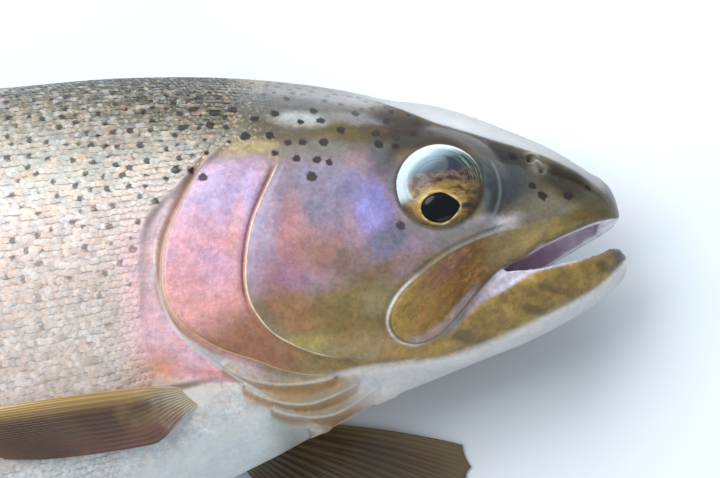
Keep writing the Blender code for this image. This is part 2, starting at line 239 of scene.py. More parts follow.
class Wire:
    """An output socket that takes part in arithmetic."""

    def __init__(self, tree, socket):
        self.tree, self.socket = tree, socket

    def maths(self, operation, *items):
        made = self.tree.nodes.new("ShaderNodeMath")
        made.operation = operation
        for socket, item in zip(made.inputs, items):
            plug(self.tree, socket, item)
        return Wire(self.tree, made.outputs[0])

    def __add__(self, other):
        return self.maths("ADD", self, other)

    def __radd__(self, other):
        return self.maths("ADD", other, self)

    def __sub__(self, other):
        return self.maths("SUBTRACT", self, other)

    def __rsub__(self, other):
        return self.maths("SUBTRACT", other, self)

    def __mul__(self, other):
        return self.maths("MULTIPLY", self, other)

    def __rmul__(self, other):
        return self.maths("MULTIPLY", other, self)

    def __truediv__(self, other):
        return self.maths("DIVIDE", self, other)

    def rise(self, low, high):
        """0 below low, 1 above high, with an S-shaped rise between."""
        made = self.tree.nodes.new("ShaderNodeMapRange")
        made.interpolation_type = "SMOOTHSTEP"
        flip = low > high
        for name, value in (("From Min", min(low, high)), ("From Max", max(low, high)),
                            ("To Min", flip), ("To Max", not flip)):
            made.inputs[name].default_value = float(value)
        self.tree.links.new(self.socket, made.inputs["Value"])
        return Wire(self.tree, made.outputs["Result"])

    def line(self, half):
        """1 where the value is 0, fading to 0 at half on either side."""
        return self.maths("ABSOLUTE", self).rise(half, 0.0)

    def root(self):
        return self.maths("SQRT", self)


class Look:
    """A material with one Principled shader, and short ways to add nodes to it."""

    def __init__(self, name, **fixed):
        self.material = bpy.data.materials.new(name)
        self.material.use_nodes = True
        self.tree = self.material.node_tree
        self.shader = self.tree.nodes["Principled BSDF"]
        for label, value in fixed.items():
            self.shader.inputs[label.replace("_", " ")].default_value = value

    def node(self, kind, settings=None, inputs=None, output=0):
        """Adds any node; its inputs can be wires, numbers or tuples."""
        made = self.tree.nodes.new(kind)
        for key, value in (settings or {}).items():
            setattr(made, key, value)
        for key, value in (inputs or {}).items():
            plug(self.tree, made.inputs[key], value)
        return Wire(self.tree, made.outputs[output])

    def attribute(self, name, output="Fac"):
        return self.node("ShaderNodeAttribute", {"attribute_name": name}, output=output)

    def split(self, vector):
        """The three parts of a vector, as wires."""
        parts = self.tree.nodes.new("ShaderNodeSeparateXYZ")
        self.tree.links.new(vector.socket, parts.inputs[0])
        return [Wire(self.tree, socket) for socket in parts.outputs]

    def vector_maths(self, operation, first, second=None, output="Vector"):
        inputs = {0: first} if second is None else {0: first, 1: second}
        return self.node("ShaderNodeVectorMath", {"operation": operation}, inputs, output)

    def mix(self, share, first, second, blend="MIX"):
        """The first colour where share is 0 and the second, or their blend, where it is 1."""
        made = self.tree.nodes.new("ShaderNodeMix")
        made.data_type, made.blend_type = "RGBA", blend
        for index, item in ((0, share), (6, first), (7, second)):
            plug(self.tree, made.inputs[index], item)
        return Wire(self.tree, made.outputs[2])

    def coats(self, colour, *layers):
        """A colour under thin layers, one over the other; each is how much of it there is, and its colour."""
        for share, shade in layers:
            colour = self.mix(share, colour, shade)
        return colour

    def noise(self, vector, scale, detail=2.0, rough=0.5, output="Fac"):
        inputs = {"Vector": vector, "Scale": scale, "Detail": detail, "Roughness": rough}
        return self.node("ShaderNodeTexNoise", None, inputs, output)

    def warp(self, vector, scale, reach):
        """The vector pushed about by a noise, by up to about half of reach."""
        push = self.vector_maths("SUBTRACT", self.noise(vector, scale, 4.0, 0.6, "Color"), (0.5, 0.5, 0.5))
        return self.vector_maths("ADD", vector, self.vector_maths("MULTIPLY", push, (reach, reach, reach)))

    def stretch(self, vector, scale, turn=0.0):
        """The vector turned and divided by a scale, which draws a noise out along the larger sides."""
        return self.node("ShaderNodeMapping", {"vector_type": "TEXTURE"},
                         {"Vector": vector, "Rotation": (0.0, 0.0, turn), "Scale": scale})

    def patch(self, vector, middle, radii, turn, soft=0.5):
        """1 inside an oval seen from the side, fading out over its outer part."""
        cos, sin = math.cos(math.radians(turn)), math.sin(math.radians(turn))
        local = self.vector_maths("SUBTRACT", vector, (*middle, 0.0))
        along = self.vector_maths("DOT_PRODUCT", local, (cos / radii[0], sin / radii[0], 0.0), "Value")
        across = self.vector_maths("DOT_PRODUCT", local, (-sin / radii[1], cos / radii[1], 0.0), "Value")
        oval = self.node("ShaderNodeCombineXYZ", None, {0: along, 1: across})
        return self.vector_maths("LENGTH", oval, None, "Value").rise(1.0 + soft, 1.0 - soft)

    def ovals(self, colour, vector, table):
        """A colour under a table of patches, painted in the table's order."""
        for _, middle, radii, turn, shade, strength, soft in table:
            colour = self.mix(self.patch(vector, middle, radii, turn, soft) * strength, colour, shade)
        return colour

    def bump(self, height, strength, distance):
        inputs = {"Strength": strength, "Distance": distance, "Height": height}
        return self.node("ShaderNodeBump", None, inputs)

    def finish(self, colour=None, roughness=None, metallic=None, coat=None, normal=None):
        for label, item in (("Base Color", colour), ("Roughness", roughness), ("Metallic", metallic),
                            ("Coat Weight", coat), ("Normal", normal)):
            if item is not None:
                plug(self.tree, self.shader.inputs[label], item)
        return self.material


# %% The floor
floor_look = Look("pale_floor", Roughness=0.9)
floor_mesh = bmesh.new()
bmesh.ops.create_grid(floor_mesh, x_segments=1, y_segments=1, size=8.0)
floor_data = bpy.data.meshes.new("floor")
floor_mesh.to_mesh(floor_data)
floor_mesh.free()
floor = link("floor", floor_data)
floor_data.materials.append(floor_look.finish(colour=(0.80, 0.86, 0.93)))

# %% [markdown]
# ## Lines that give a trout's head its character
#
# Thin bony plates lie just under a trout's skin, and their edges are what the eye reads: the free edge
# of the gill cover, the sickle of the preopercle in front of it, the maxilla that swings beside the
# mouth, and the rim of the shoulder behind.  Each is a short list of points, smoothed.  The signed
# distance to such a line then serves twice: it shapes the skin, and it is stored on the mesh for the
# shader to draw fine edges with.

# %% The lines, seen from the side
COVER_EDGE = ((57.5, 21.0), (60.2, 18.0), (63.3, 14.4), (65.7, 11.6), (68.4, 7.4), (72.9, -1.2), (74.3, -7.7),
              (74.0, -11.6), (72.3, -15.2), (69.6, -17.8), (66.2, -20.0), (61.5, -21.9), (57.3, -23.6),
              (52.4, -24.5), (46.0, -24.4))
MEMBRANE_EDGE = ((64.2, 15.6), (66.8, 12.2), (72.0, 5.6), (75.0, -1.0), (75.5, -6.0), (74.9, -11.8),
                 (73.2, -16.4), (70.7, -19.5), (67.2, -22.5), (63.2, -25.5), (58.6, -28.3), (53.0, -31.0),
                 (47.0, -32.5))
SHOULDER_EDGE = ((58.0, 20.0), (61.0, 15.6), (63.8, 12.6), (67.3, 9.7), (72.1, 5.6), (75.8, 1.8),
                 (77.2, -2.9), (77.7, -8.1), (78.1, -14.0), (77.9, -18.0), (76.7, -21.0), (74.4, -22.9),
                 (71.4, -23.9), (67.0, -24.6))
PREOPERCLE = ((53.0, 14.5), (53.8, 11.5), (55.4, 8.0), (57.8, 3.4), (59.8, -1.0), (61.2, -6.5), (61.6, -11.3),
              (60.6, -15.0), (57.8, -18.6), (52.2, -21.5), (46.5, -22.6), (41.0, -22.8))
MAXILLA = ((13.4, -5.6), (18.8, -4.9), (23.4, -6.0), (28.6, -7.9), (33.6, -10.7), (38.0, -14.0),
           (40.2, -17.6), (39.2, -20.2), (36.2, -21.1), (32.4, -20.0), (28.8, -17.2), (25.2, -13.9),
           (21.8, -11.1), (17.6, -9.4))
MOUTH_GAP = ((-8.0, 0.0), (-1.0, -1.6), (1.0, -2.7), (5.3, -4.0), (11.8, -6.5), (18.0, -9.3), (21.8, -11.2),
             (15.3, -11.0), (6.1, -9.3), (2.0, -7.9), (-0.6, -8.6), (-8.0, -7.0))
MOUTH_HOLLOW = ((-4.0, -3.0), (4.0, -1.8), (12.0, -3.6), (20.0, -6.6), (28.0, -8.2), (36.0, -9.4),
                (40.0, -13.0), (39.0, -18.0), (30.0, -17.6), (20.0, -15.2), (10.0, -12.6), (4.0, -10.6),
                (-4.0, -8.0))
JAW_FOLD = ((1.0, -8.5), (5.7, -9.9), (8.6, -10.5), (12.3, -11.2), (15.5, -11.8), (18.0, -12.8),
            (21.3, -14.4), (24.9, -15.9), (28.0, -17.9), (31.5, -20.8), (36.0, -23.0))
JAW_KEEL = ((1.0, -10.2), (4.0, -12.9), (7.9, -15.2), (12.9, -17.3), (18.5, -19.3), (24.6, -21.2),
            (31.0, -22.7), (38.0, -23.5), (45.0, -24.0), (52.0, -24.9), (58.0, -27.0))
CROWN = np.array([
    # back from snout, height of the corner between the flat top of the head and its side, how far the
    # flat top stands above the rounder section of the solid
    (0.0, -1.2, 0.2), (3.0, 2.2, 0.4), (6.0, 5.2, 0.8), (10.0, 7.9, 1.3), (15.0, 10.3, 1.6),
    (21.5, 12.8, 1.8), (29.0, 16.0, 1.5), (34.0, 19.4, 0.7), (38.0, 22.6, 0.0), (60.0, 29.0, 0.0),
])


def smooth_line(points, closed=False, per_span=8):
    """A dense line on a Catmull-Rom curve through a few points."""
    points = np.array(points, float)
    count = len(points)
    line = []
    for k in range(count if closed else count - 1):
        picks = [(k + j) % count if closed else min(max(k + j, 0), count - 1) for j in (-1, 0, 1, 2)]
        p0, p1, p2, p3 = points[picks]
        for step in range(per_span):
            t = step / per_span
            line.append(0.5 * (2 * p1 + (p2 - p0) * t + (2 * p0 - 5 * p1 + 4 * p2 - p3) * t * t
                               + (3 * p1 - p0 - 3 * p2 + p3) * t ** 3))
    line.append(points[0] if closed else points[-1])
    return np.array(line)


def distance_to(line, a, b):
    """Signed distance to a line, positive on its left, and how far along it the nearest point lies."""
    best = np.full(len(a), 1e9)
    side, along = np.ones(len(a)), np.zeros(len(a))
    for k in range(len(line) - 1):
        step = line[k + 1] - line[k]
        t = np.clip(((a - line[k, 0]) * step[0] + (b - line[k, 1]) * step[1]) / (step @ step), 0, 1)
        away = (a - line[k, 0] - t * step[0]) ** 2 + (b - line[k, 1] - t * step[1]) ** 2
        closer = away < best
        left = np.sign(step[0] * (b - line[k, 1]) - step[1] * (a - line[k, 0]))
        best = np.where(closer, away, best)
        side = np.where(closer, left, side)
        along = np.where(closer, (k + t) / (len(line) - 1), along)
    return np.sqrt(best) * side, along


def outside_of(outline, a, b):
    """Distance to a closed outline, negative inside it."""
    line = smooth_line(outline, closed=True)
    turn = np.sum(line[:-1, 0] * line[1:, 1] - line[1:, 0] * line[:-1, 1])
    return distance_to(line, a, b)[0] * -np.sign(turn)


print("head lines ready, the crown's corner at a = 29 is", follow(CROWN, 29.0)[0, 0])

# %% [markdown]
# ## The skin's blank
#
# The body is one tube: a flat grid is wrapped round the profile, its seam is merged and its ends are
# closed.  The mouth is then cut out of it, a wedge between the jaws and a hollow behind it, and a
# voxel remesh turns the result into one even surface with softly rounded lips.  Towards the tail and
# on the side that nobody sees, the surface needs fewer faces, so it is thinned there.

# %% Helpers for meshes
def new_object(name, bm, merge=0.0):
    """An object from a bmesh, its faces pointing outwards."""
    if merge:
        bmesh.ops.remove_doubles(bm, verts=bm.verts, dist=merge)
    bmesh.ops.recalc_face_normals(bm, faces=bm.faces)
    mesh = bpy.data.meshes.new(name)
    bm.to_mesh(mesh)
    bm.free()
    return link(name, mesh)


def apply_modifiers(obj):
    """Makes the shape that the modifiers give the mesh itself."""
    graph = bpy.context.evaluated_depsgraph_get()
    mesh = bpy.data.meshes.new_from_object(obj.evaluated_get(graph))
    obj.modifiers.clear()
    obj.data = mesh
    return obj


def triangles(mesh):
    """How many triangles a mesh has once its larger faces are cut up."""
    return sum(len(face.vertices) - 2 for face in mesh.polygons)


def places(mesh):
    """The points of a mesh as rows of an array."""
    points = np.empty(len(mesh.vertices) * 3)
    mesh.vertices.foreach_get("co", points)
    return points.reshape(-1, 3)


def flat(values):
    """An array as one long row of single-precision numbers, which Blender takes fastest."""
    return np.ascontiguousarray(values, dtype=np.float32).ravel()


def put(mesh, points):
    """Moves the points of a mesh to the rows of an array."""
    mesh.vertices.foreach_set("co", flat(points))
    mesh.update()


def face_out(mesh):
    """Turns the faces of a closed mesh over if they point inwards, as they do once laying has mirrored it."""
    bm = bmesh.new()
    bm.from_mesh(mesh)
    if bm.calc_volume(signed=True) < 0:
        mesh.flip_normals()
    bm.free()


def store(mesh, name, values):
    """Keeps one number or one vector for each vertex, for the shader."""
    kind, key = ("FLOAT", "value") if values.ndim == 1 else ("FLOAT_VECTOR", "vector")
    layer = mesh.attributes.new(name, kind, "POINT")
    layer.data.foreach_set(key, flat(values))


def tube(distances, ribs, rise=0.0):
    """A closed body shell through rings at some distances, thicker or thinner all over by rise."""
    bm = bmesh.new()
    bmesh.ops.create_grid(bm, x_segments=len(distances) - 1, y_segments=ribs, size=0.5)
    rows = follow(BODY, distances)
    for vert in bm.verts:
        ring = round((vert.co.x + 0.5) * (len(distances) - 1))
        angle = 2 * math.pi * (vert.co.y + 0.5)
        back, belly, width, widest = rows[ring]
        up, out = math.cos(angle), math.sin(angle)
        reach = (back - widest if up > 0 else widest - belly) + rise
        vert.co = (distances[ring], widest + reach * up, max(width + rise, 0.3) * out)
    bmesh.ops.remove_doubles(bm, verts=bm.verts, dist=0.001)
    bmesh.ops.holes_fill(bm, edges=[edge for edge in bm.edges if edge.is_boundary])
    return new_object("tube", bm)


def prism(outline, reach=40.0):
    """A side outline drawn straight through the fish."""
    bm = bmesh.new()
    face = bm.faces.new([bm.verts.new((a, b, -reach)) for a, b in outline])
    drawn = bmesh.ops.extrude_face_region(bm, geom=[face])["geom"]
    far_side = [item for item in drawn if isinstance(item, bmesh.types.BMVert)]
    bmesh.ops.translate(bm, vec=(0, 0, 2 * reach), verts=far_side)
    return new_object("prism", bm)


def cut(obj, operation, other):
    """Joins or takes away another object, which is then deleted."""
    modifier = obj.modifiers.new(operation.lower(), "BOOLEAN")
    modifier.operation, modifier.object, modifier.solver = operation, other, "EXACT"
    apply_modifiers(obj)
    bpy.data.objects.remove(other)
    return obj


# %% Wrap, cut and remesh
VOXEL = 0.36
COAT_DEPTH = 0.12                   # the skin lies this far under the scales
STATIONS = np.concatenate([[0.0, 0.25, 0.5, 1.0, 1.5, 2.0, 3.0, 4.0], np.arange(5.5, 80, 1.5),
                           np.arange(80, 327, 4.0), [327.0]])
LIP_THICKNESS = 3.0

skin = tube(STATIONS, 144)
skin.name = "trout_skin"
hollow = tube(np.linspace(4.0, 53.0, 40), 72, rise=-LIP_THICKNESS)
cut(hollow, "INTERSECT", prism(smooth_line(MOUTH_HOLLOW, closed=True, per_span=3)[:-1]))
cut(skin, "DIFFERENCE", hollow)
cut(skin, "DIFFERENCE", prism(smooth_line(MOUTH_GAP, closed=True, per_span=3)[:-1]))
remesh = skin.modifiers.new("even_surface", "REMESH")
remesh.mode, remesh.voxel_size, remesh.adaptivity = "VOXEL", VOXEL, 0.0
relax = skin.modifiers.new("relax", "SMOOTH")
relax.factor, relax.iterations = 0.5, 4
apply_modifiers(skin)
print("remeshed:", len(skin.data.polygons), "faces")

# %% Thin the faces where nothing fine will be shaped
SKIN_TRIANGLES = 188000


def thin(obj, keep_fine, target):
    """Collapses edges until about target triangles are left, and hardly any where keep_fine is 1."""
    group = obj.vertex_groups.new(name="thin")
    shares = 1 - keep_fine
    for level in np.linspace(0, 1, 6):
        group.add(np.flatnonzero(np.abs(shares - level) <= 0.1).tolist(), float(level), "REPLACE")
    modifier = obj.modifiers.new("thin", "DECIMATE")
    modifier.ratio = target / triangles(obj.data)
    modifier.vertex_group, modifier.vertex_group_factor = "thin", 10.0
    return apply_modifiers(obj)


a, b, c = places(skin.data).T
thin(skin, ramp(a, 96, 74) * (0.45 + 0.55 * ramp(c, -8, 0)), SKIN_TRIANGLES)
print("thinned:", triangles(skin.data), "triangles")

# %% [markdown]
# ## Relief: plates, folds and rims
#
# Under wet skin the bones show as low steps and grooves of a few tenths of a millimetre.  They could be
# sculpted by hand, but then they would not follow a changed outline.  Here each point of the skin is
# moved along its own normal by heights worked out from its distance to the lines above, so an edge is
# as sharp as the mesh allows and fades out where the line ends.

# %% Distances from the lines, for every point of a mesh
FAR_OFF = 40.0                      # the distance that stands for "nowhere near"
HEAD_LINES = {"cover": COVER_EDGE, "membrane": MEMBRANE_EDGE, "shoulder": SHOULDER_EDGE,
              "preopercle": PREOPERCLE, "fold": JAW_FOLD, "keel": JAW_KEEL}
RAYS_UNDER_COVER = (
    ((67.5, -21.8), (63.4, -24.3), (59.2, -25.4), (53.6, -25.5), (48.5, -24.9)),
    ((64.7, -24.9), (60.7, -27.4), (55.3, -28.3), (50.0, -27.2), (45.5, -25.6)),
    ((60.9, -28.6), (57.2, -29.8), (51.6, -29.7), (46.4, -28.0), (42.2, -26.0)),
    ((56.0, -31.4), (50.5, -31.4), (45.3, -29.5), (39.5, -26.6)),
)


def measure(points):
    """Distances in millimetres from the lines of the head, for points of the straight fish."""
    a, b, c = points.T
    far = {name: np.full(len(a), FAR_OFF) for name in (*HEAD_LINES, "maxilla", "fan")}
    near = np.flatnonzero(a < 96)
    for name, line in HEAD_LINES.items():
        along = np.zeros(len(a))
        far[name][near], along[near] = distance_to(smooth_line(line), a[near], b[near])
        far[name + "_ends"] = np.minimum(along, 1 - along)
    far["maxilla"][near] = outside_of(MAXILLA, a[near], b[near])
    low = np.flatnonzero((a > 34) & (a < 74) & (b < -18))
    for line in RAYS_UNDER_COVER:
        value, along = distance_to(smooth_line(line), a[low], b[low])
        value += 3.0 * np.sign(value) * ramp(np.minimum(along, 1 - along), 0.10, 0.0)
        far["fan"][low] = np.where(np.abs(value) < np.abs(far["fan"][low]), value, far["fan"][low])
    far["orbit"] = np.hypot(a - EYE[0], b - EYE[1])
    back, belly, width, widest = follow(BODY, a).T
    reach = np.where(b > widest, back - widest, widest - belly)
    ratio = np.hypot((b - widest) / reach, c / np.maximum(width, 0.1))
    far["depth"] = np.clip((1 - ratio) * np.minimum(reach, width), -2, 30)
    far["around"] = np.arctan2(np.abs(c) / np.maximum(width, 0.1), (b - widest) / reach) / math.pi
    return far


EYE_OPENING = 6.8                   # radius of the ring of skin round the globe
EYE_RADII = (8.6, 8.6, 5.8)
NOSTRILS = ((12.3, 5.5, 0.50, 0.9), (13.9, 7.7, 0.65, 1.1))     # a, b, radius and depth of each hole


def globe_height(away):
    """Height of the eyeball's surface above the middle plane, at a distance from its axis."""
    return EYE[2] + EYE_RADII[2] * np.sqrt(np.clip(1 - (away / EYE_RADII[0]) ** 2, 0, 1))


STEPS = (
    # line, height of the step, where it rises and where it has sunk back, as distances from the line
    ("cover", 0.62, (0.25, -0.25), (-9, -1)),
    ("shoulder", 0.24, (-0.6, 0.9), (9, 2)),
    ("preopercle", 0.24, (0.15, -0.25), (-6, -0.6)),
    ("maxilla", 0.50, (0.25, -0.45), (-7, -1)),
    ("fan", 0.30, (0.25, -0.15), (-2.2, -0.5)),
)
FOLDS = (
    # line, height (a groove's is negative), distance of its middle from the line, half width
    ("cover", -0.45, 0.55, 0.8),
    ("shoulder", -0.18, -1.4, 1.8),
    ("preopercle", -0.34, 0.45, 0.70),
    ("maxilla", -0.26, 0.6, 0.9),
    ("fold", 0.22, -1.0, 1.6),
    ("keel", -0.16, 0.0, 1.1),
    ("fan", -0.12, 0.5, 0.7),
)
NOSTRIL_FLAP = (13.0, 6.7, 0.45)    # a, b and height of the flap between the two holes


def relief(points, far):
    """Height to add along the normal, in millimetres."""
    a, b, _ = points.T
    lip = far["maxilla"]

    # how much of each line is drawn: all fade at their ends, and some near their tops too
    drawn = {name: ramp(far[name + "_ends"], 0.0, 0.10) for name in HEAD_LINES}
    drawn["cover"] *= ramp(b, 18.5, 12.5)
    drawn["shoulder"] *= ramp(b, 16.0, 10.0)
    drawn["preopercle"] *= ramp(b, 10.5, 6.5)
    rear = 0.10 + 0.80 * ramp(a, 30, 38)
    drawn["maxilla"] = np.maximum(rear, 0.8 * ramp(b + 0.42 * (a - 14), -4.4, -7.4))
    drawn["fan"] = 1.0

    height = 0.30 * ramp(far["membrane"], 0.2, -0.3) * ramp(far["cover"], 0.2, 1.2) * drawn["membrane"]
    height -= 0.30 * hump(far["fold"] - 0.7, 1.3) * ramp(lip, 0.0, 0.8) * drawn["fold"]
    for name, rise, edge, back in STEPS:
        height += rise * ramp(far[name], *edge) * ramp(far[name], *back) * drawn[name]
    for name, rise, place, half in FOLDS:
        height += rise * hump(far[name] - place, half) * drawn[name]
    for x, y, size, depth in NOSTRILS:
        along, across = (a - x) * 0.55 + (b - y) * 0.83, (b - y) * 0.55 - (a - x) * 0.83
        away = np.hypot(along, across * 0.75)
        height += 0.14 * hump(away - size * 1.3, size * 0.8) - depth * ramp(away, size, 0.25 * size)
    height += NOSTRIL_FLAP[2] * ramp(np.hypot(a - NOSTRIL_FLAP[0], b - NOSTRIL_FLAP[1]), 0.9, 0.2)
    return height * ramp(far["depth"], 1.6, 0.6)


CAMERA_SLOPE = 0.287                # a point 1 mm farther out shows this much nearer to the back


def crown_corner(a):
    """Height and half width of the corner, and of the full brow below it."""
    corner = follow(CROWN, a)[:, 0]
    start = corner - 0.24 * (follow(BODY, a)[:, 0] + 3.0)
    full = half_width(a, start)
    wide = np.maximum(0.88 * full, half_width(a, corner))
    return corner - CAMERA_SLOPE * (wide - half_width(a, corner)), wide, start, full


def square_crown(points, far):
    """Gives the head a flat top: a full brow, then a corner that runs from the snout to the nape."""
    a, b, c = points.T
    back, rise = follow(BODY, a)[:, 0], follow(CROWN, a)[:, 1]
    corner, wide, start, full = crown_corner(a)
    up = np.clip((b - start) / np.maximum(corner - start, 0.5), 0, 1)
    share = np.clip((back - b) / np.maximum(back - corner, 0.5), 0, 1)
    square = np.where(b > corner, wide * share ** 0.75, np.maximum(full + (wide - full) * up ** 2, np.abs(c)))
    blend = 0.95 * ramp(a, 40, 31) * ramp(a, 1.5, 5.0) * ramp(far["depth"], 2.0, 1.0) * (b > start)
    higher = b + rise * (1 - share) * blend * (b > corner)
    return np.column_stack([a, higher, c + (square * np.sign(c) - c) * blend])


def sink_socket(points, far):
    """Raises a soft ring of skin to the eyeball and lets the skin dip under the globe."""
    away = far["orbit"]
    rim = globe_height(EYE_OPENING) - 0.1
    side = np.sign(points[:, 2])
    out = np.abs(points[:, 2])
    share = ramp(away, 12.0, EYE_OPENING + 0.2) * ramp(far["depth"], 3.0, 1.5)
    share = share * ramp(points[:, 1] - crown_corner(points[:, 0])[0], 0.3, -2.5)
    ring = out + (rim - out) * share * 0.9
    under = globe_height(away) - 0.15 - 1.2 * ramp(away, EYE_OPENING - 0.1, EYE_OPENING - 1.2)
    ring = np.where(away < EYE_OPENING, np.where(share > 0.3, under, out), ring)
    return np.column_stack([points[:, :2], ring * side])


# %% Shape the skin
straight = places(skin.data)
far = measure(straight)
normals = np.empty(len(straight) * 3)
skin.data.vertex_normals.foreach_get("vector", normals)
normals = normals.reshape(-1, 3)
shaped = square_crown(straight, far) + normals * relief(straight, far)[:, None]
shaped = sink_socket(shaped, far)
print(f"relief from {relief(straight, far).min():.2f} to {relief(straight, far).max():.2f} mm")

# %% [markdown]
# ## Spots
#
# A rainbow trout is peppered with small dark spots, dense along the back and thin below the side.  The
# ones on the head are listed one by one, because they are few and large; the others are scattered by rule.
# Each point of the skin and of every scale keeps its distance to the nearest spot, so that the pattern
# runs on from skin to scales without a break.

# %% Scatter the spots and measure them
SPOT_SEED = 7
SPOT_TRIES = 20000
HEAD_SPOTS = (
    (48.2, 19.2, 0.9), (47.1, 17.0, 0.8), (44.1, 14.8, 0.9), (54.5, 19.0, 0.9), (55.6, 14.6, 0.9),
    (59.5, 14.6, 1.0), (50.5, 17.0, 0.7), (50.4, 12.9, 0.8), (47.1, 12.6, 0.9), (52.8, 13.0, 0.7),
    (51.7, 9.9, 0.8), (48.5, 9.4, 0.8), (46.6, 8.8, 0.7), (49.6, 6.4, 1.0), (55.0, 11.2, 0.7),
    (61.2, 20.5, 0.9), (57.7, 18.2, 0.8), (64.1, 20.2, 1.0), (64.8, 17.7, 0.9), (67.3, 21.3, 1.0),
    (69.1, 17.6, 0.9), (66.7, 7.8, 0.9), (70.8, 9.8, 0.9), (38.5, 13.9, 0.9), (38.3, 11.7, 0.9),
    (35.4, 12.8, 0.8), (35.7, 11.0, 0.7), (32.5, 13.3, 0.8), (29.8, 13.0, 0.7), (20.2, 10.0, 0.7),
    (16.8, 8.3, 0.9), (14.4, 2.7, 0.8), (13.0, 0.8, 1.0), (9.3, 3.6, 0.9), (8.7, 0.7, 1.0),
    (36.6, -2.8, 0.9), (5.2, 2.2, 0.7), (41.5, 18.3, 0.8), (36.5, 16.2, 0.8), (26.5, 14.8, 0.7),
)


def scatter_spots():
    """Spot centres and radii over both flanks, with the listed ones of the head."""
    rng = np.random.default_rng(SPOT_SEED)
    made = [(a, b, half_width([a], [b])[0] * side, 0.82 * size)
            for a, b, size in HEAD_SPOTS for side in (1, -1)]
    a = 30 + 294 * rng.random(SPOT_TRIES) ** 1.4
    turn, chance = rng.uniform(-0.72, 0.72, SPOT_TRIES), rng.random(SPOT_TRIES)
    around = np.abs(turn)
    wanted = ramp(around, 0.76, 0.24) * (0.35 + 0.65 * ramp(a, 40, 70))
    wanted *= 0.55 + 0.45 * ramp(around, 0.5, 0.3)
    wanted *= np.where((a < 62) & (around > 0.20), 0, 1)
    radius = rng.uniform(0.27, 0.56, SPOT_TRIES) * (1 + 0.90 * ramp(a, 90, 180))
    spots = np.column_stack([body_points(a, turn * math.pi), radius])
    shoulder = distance_to(smooth_line(SHOULDER_EDGE), spots[:, 0], spots[:, 1])[0]
    wanted *= np.where((shoulder < 0.6) & (spots[:, 1] < 13) & (a < 80), 0, 1)
    for spot in spots[chance < wanted]:
        space = 1.35 + 0.5 * abs(spot[2]) / 20 + 1.7 * ramp(spot[0], 84, 130)
        if all(abs(spot[0] - old[0]) > space or math.dist(spot[:3], old[:3]) > space for old in made):
            made.append(tuple(spot))
    return np.array(made)


SPOTS = scatter_spots()
spot_tree = KDTree(len(SPOTS))
for index, spot in enumerate(SPOTS):
    spot_tree.insert(spot[:3], index)
spot_tree.balance()


def spot_distance(points):
    """Distance to the rim of the nearest spot, in millimetres, at most 4."""
    found = [spot_tree.find(point)[1:] for point in points]
    index, away = np.array(found).T
    return np.minimum(away - SPOTS[index.astype(int), 3], 4.0)


print(len(SPOTS), "spots")

# %% Put the skin on the floor with its measures
def sink(points):
    """Moves points of the body inwards by the depth of the coat of scales, behind the head only."""
    a, b, c = points.T
    widest = follow(BODY, a)[:, 3]
    out = np.column_stack([np.zeros(len(a)), b - widest, c])
    out /= np.linalg.norm(out, axis=1)[:, None] + 1e-6
    return points - out * COAT_DEPTH * ramp(a, 58, 66)[:, None]


put(skin.data, lay(sink(shaped)))
face_out(skin.data)
store(skin.data, "fish", straight)
store(skin.data, "spot", spot_distance(straight))
fan = far["fan"]
raised = ramp(fan, -1.8, -0.3) * ramp(fan, 0.5, 0.0)
# for each fold under the gill cover: its pale edge, the band beside it that takes painted shade, and its
# raised part
store(skin.data, "fan", np.column_stack([hump(fan + 0.05, 0.50), hump(fan - 0.75, 0.80), raised]))
over_corner = straight[:, 1] - crown_corner(straight[:, 0])[0]
store(skin.data, "corner", np.where(straight[:, 0] < 60, over_corner, FAR_OFF))
store(skin.data, "keel", far["keel"])
MEASURES = {"edges": ("cover", "preopercle", "membrane"), "folds": ("maxilla", "shoulder", "fold"),
            "deep": ("orbit", "depth", "around")}
for layer, names in MEASURES.items():
    store(skin.data, layer, np.column_stack([far[name] for name in names]))
skin.data.shade_smooth()
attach(skin, "root")
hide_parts("head", "lower_jaw", "throat", "maxilla_right", "maxilla_left", "gill_cover_right",
            "gill_cover_left", "trunk", "tail_stalk")
print("skin laid:", len(skin.data.vertices), "points")

# %% [markdown]
# ## Colours shared by skin and scales
#
# Skin shows between and around the scales, so both must carry the same colours.  One function builds
# the nodes for the body: dark olive on the back, a silver side with a blush of pink, a white belly.  It
# reads the straight fish's coordinates kept on each mesh, which is why a colour stays in its place
# wherever the body bends.

# %% The body's colours
SPOT_COLOUR = (26, 18, 14)


def body_colour(look, fish, around):
    """Colour of the trunk by its height on the girth, with a little drift along its length."""
    a = look.split(fish)[0]
    turn = around + (look.noise(fish, 0.07, 3.0) - 0.5) * 0.10
    back = look.mix(look.noise(fish, 0.5, 3.0).rise(0.40, 0.62), (70, 74, 60), (98, 100, 84))
    back = look.coats(back, (turn.rise(0.12, 0.25), (152, 150, 134)),
                      (turn.rise(0.22, 0.35), (210, 206, 198)))
    nape = a.rise(122.0, 68.0) * turn.rise(0.47, 0.25)
    back = look.mix(nape, back, (0.27, 0.27, 0.22), "MULTIPLY")
    pink = turn.rise(0.36, 0.44) * turn.rise(0.60, 0.50) * (0.20 + 0.45 * a.rise(95.0, 130.0))
    return look.coats(back, (pink, (216, 160, 160)), (turn.rise(0.54, 0.64), (220, 206, 198)),
                      (turn.rise(0.68, 0.80), (210, 217, 217)))


def shoulder_blush(look, colour, away, b):
    """The pink, then orange, that runs from the gill opening into the first scales."""
    near = away.rise(5.0, 0.0) * away.rise(-1.0, 0.2) * b.rise(5.0, -4.0) * b.rise(-26.0, -22.0)
    return look.mix(near * 0.9, colour, look.mix(b.rise(-18.0, -21.5), (224, 190, 196), (206, 156, 130)))


def add_spots(look, colour, fish, spot, around, strength=1.0):
    """Dark spots with soft, uneven rims, weaker low on the side."""
    rim = spot + (look.noise(fish, 1.3, 3.0, 0.6) - 0.5) * 0.9
    return look.mix(rim.rise(0.25, -0.15) * around.rise(0.74, 0.32) * strength, colour, SPOT_COLOUR)
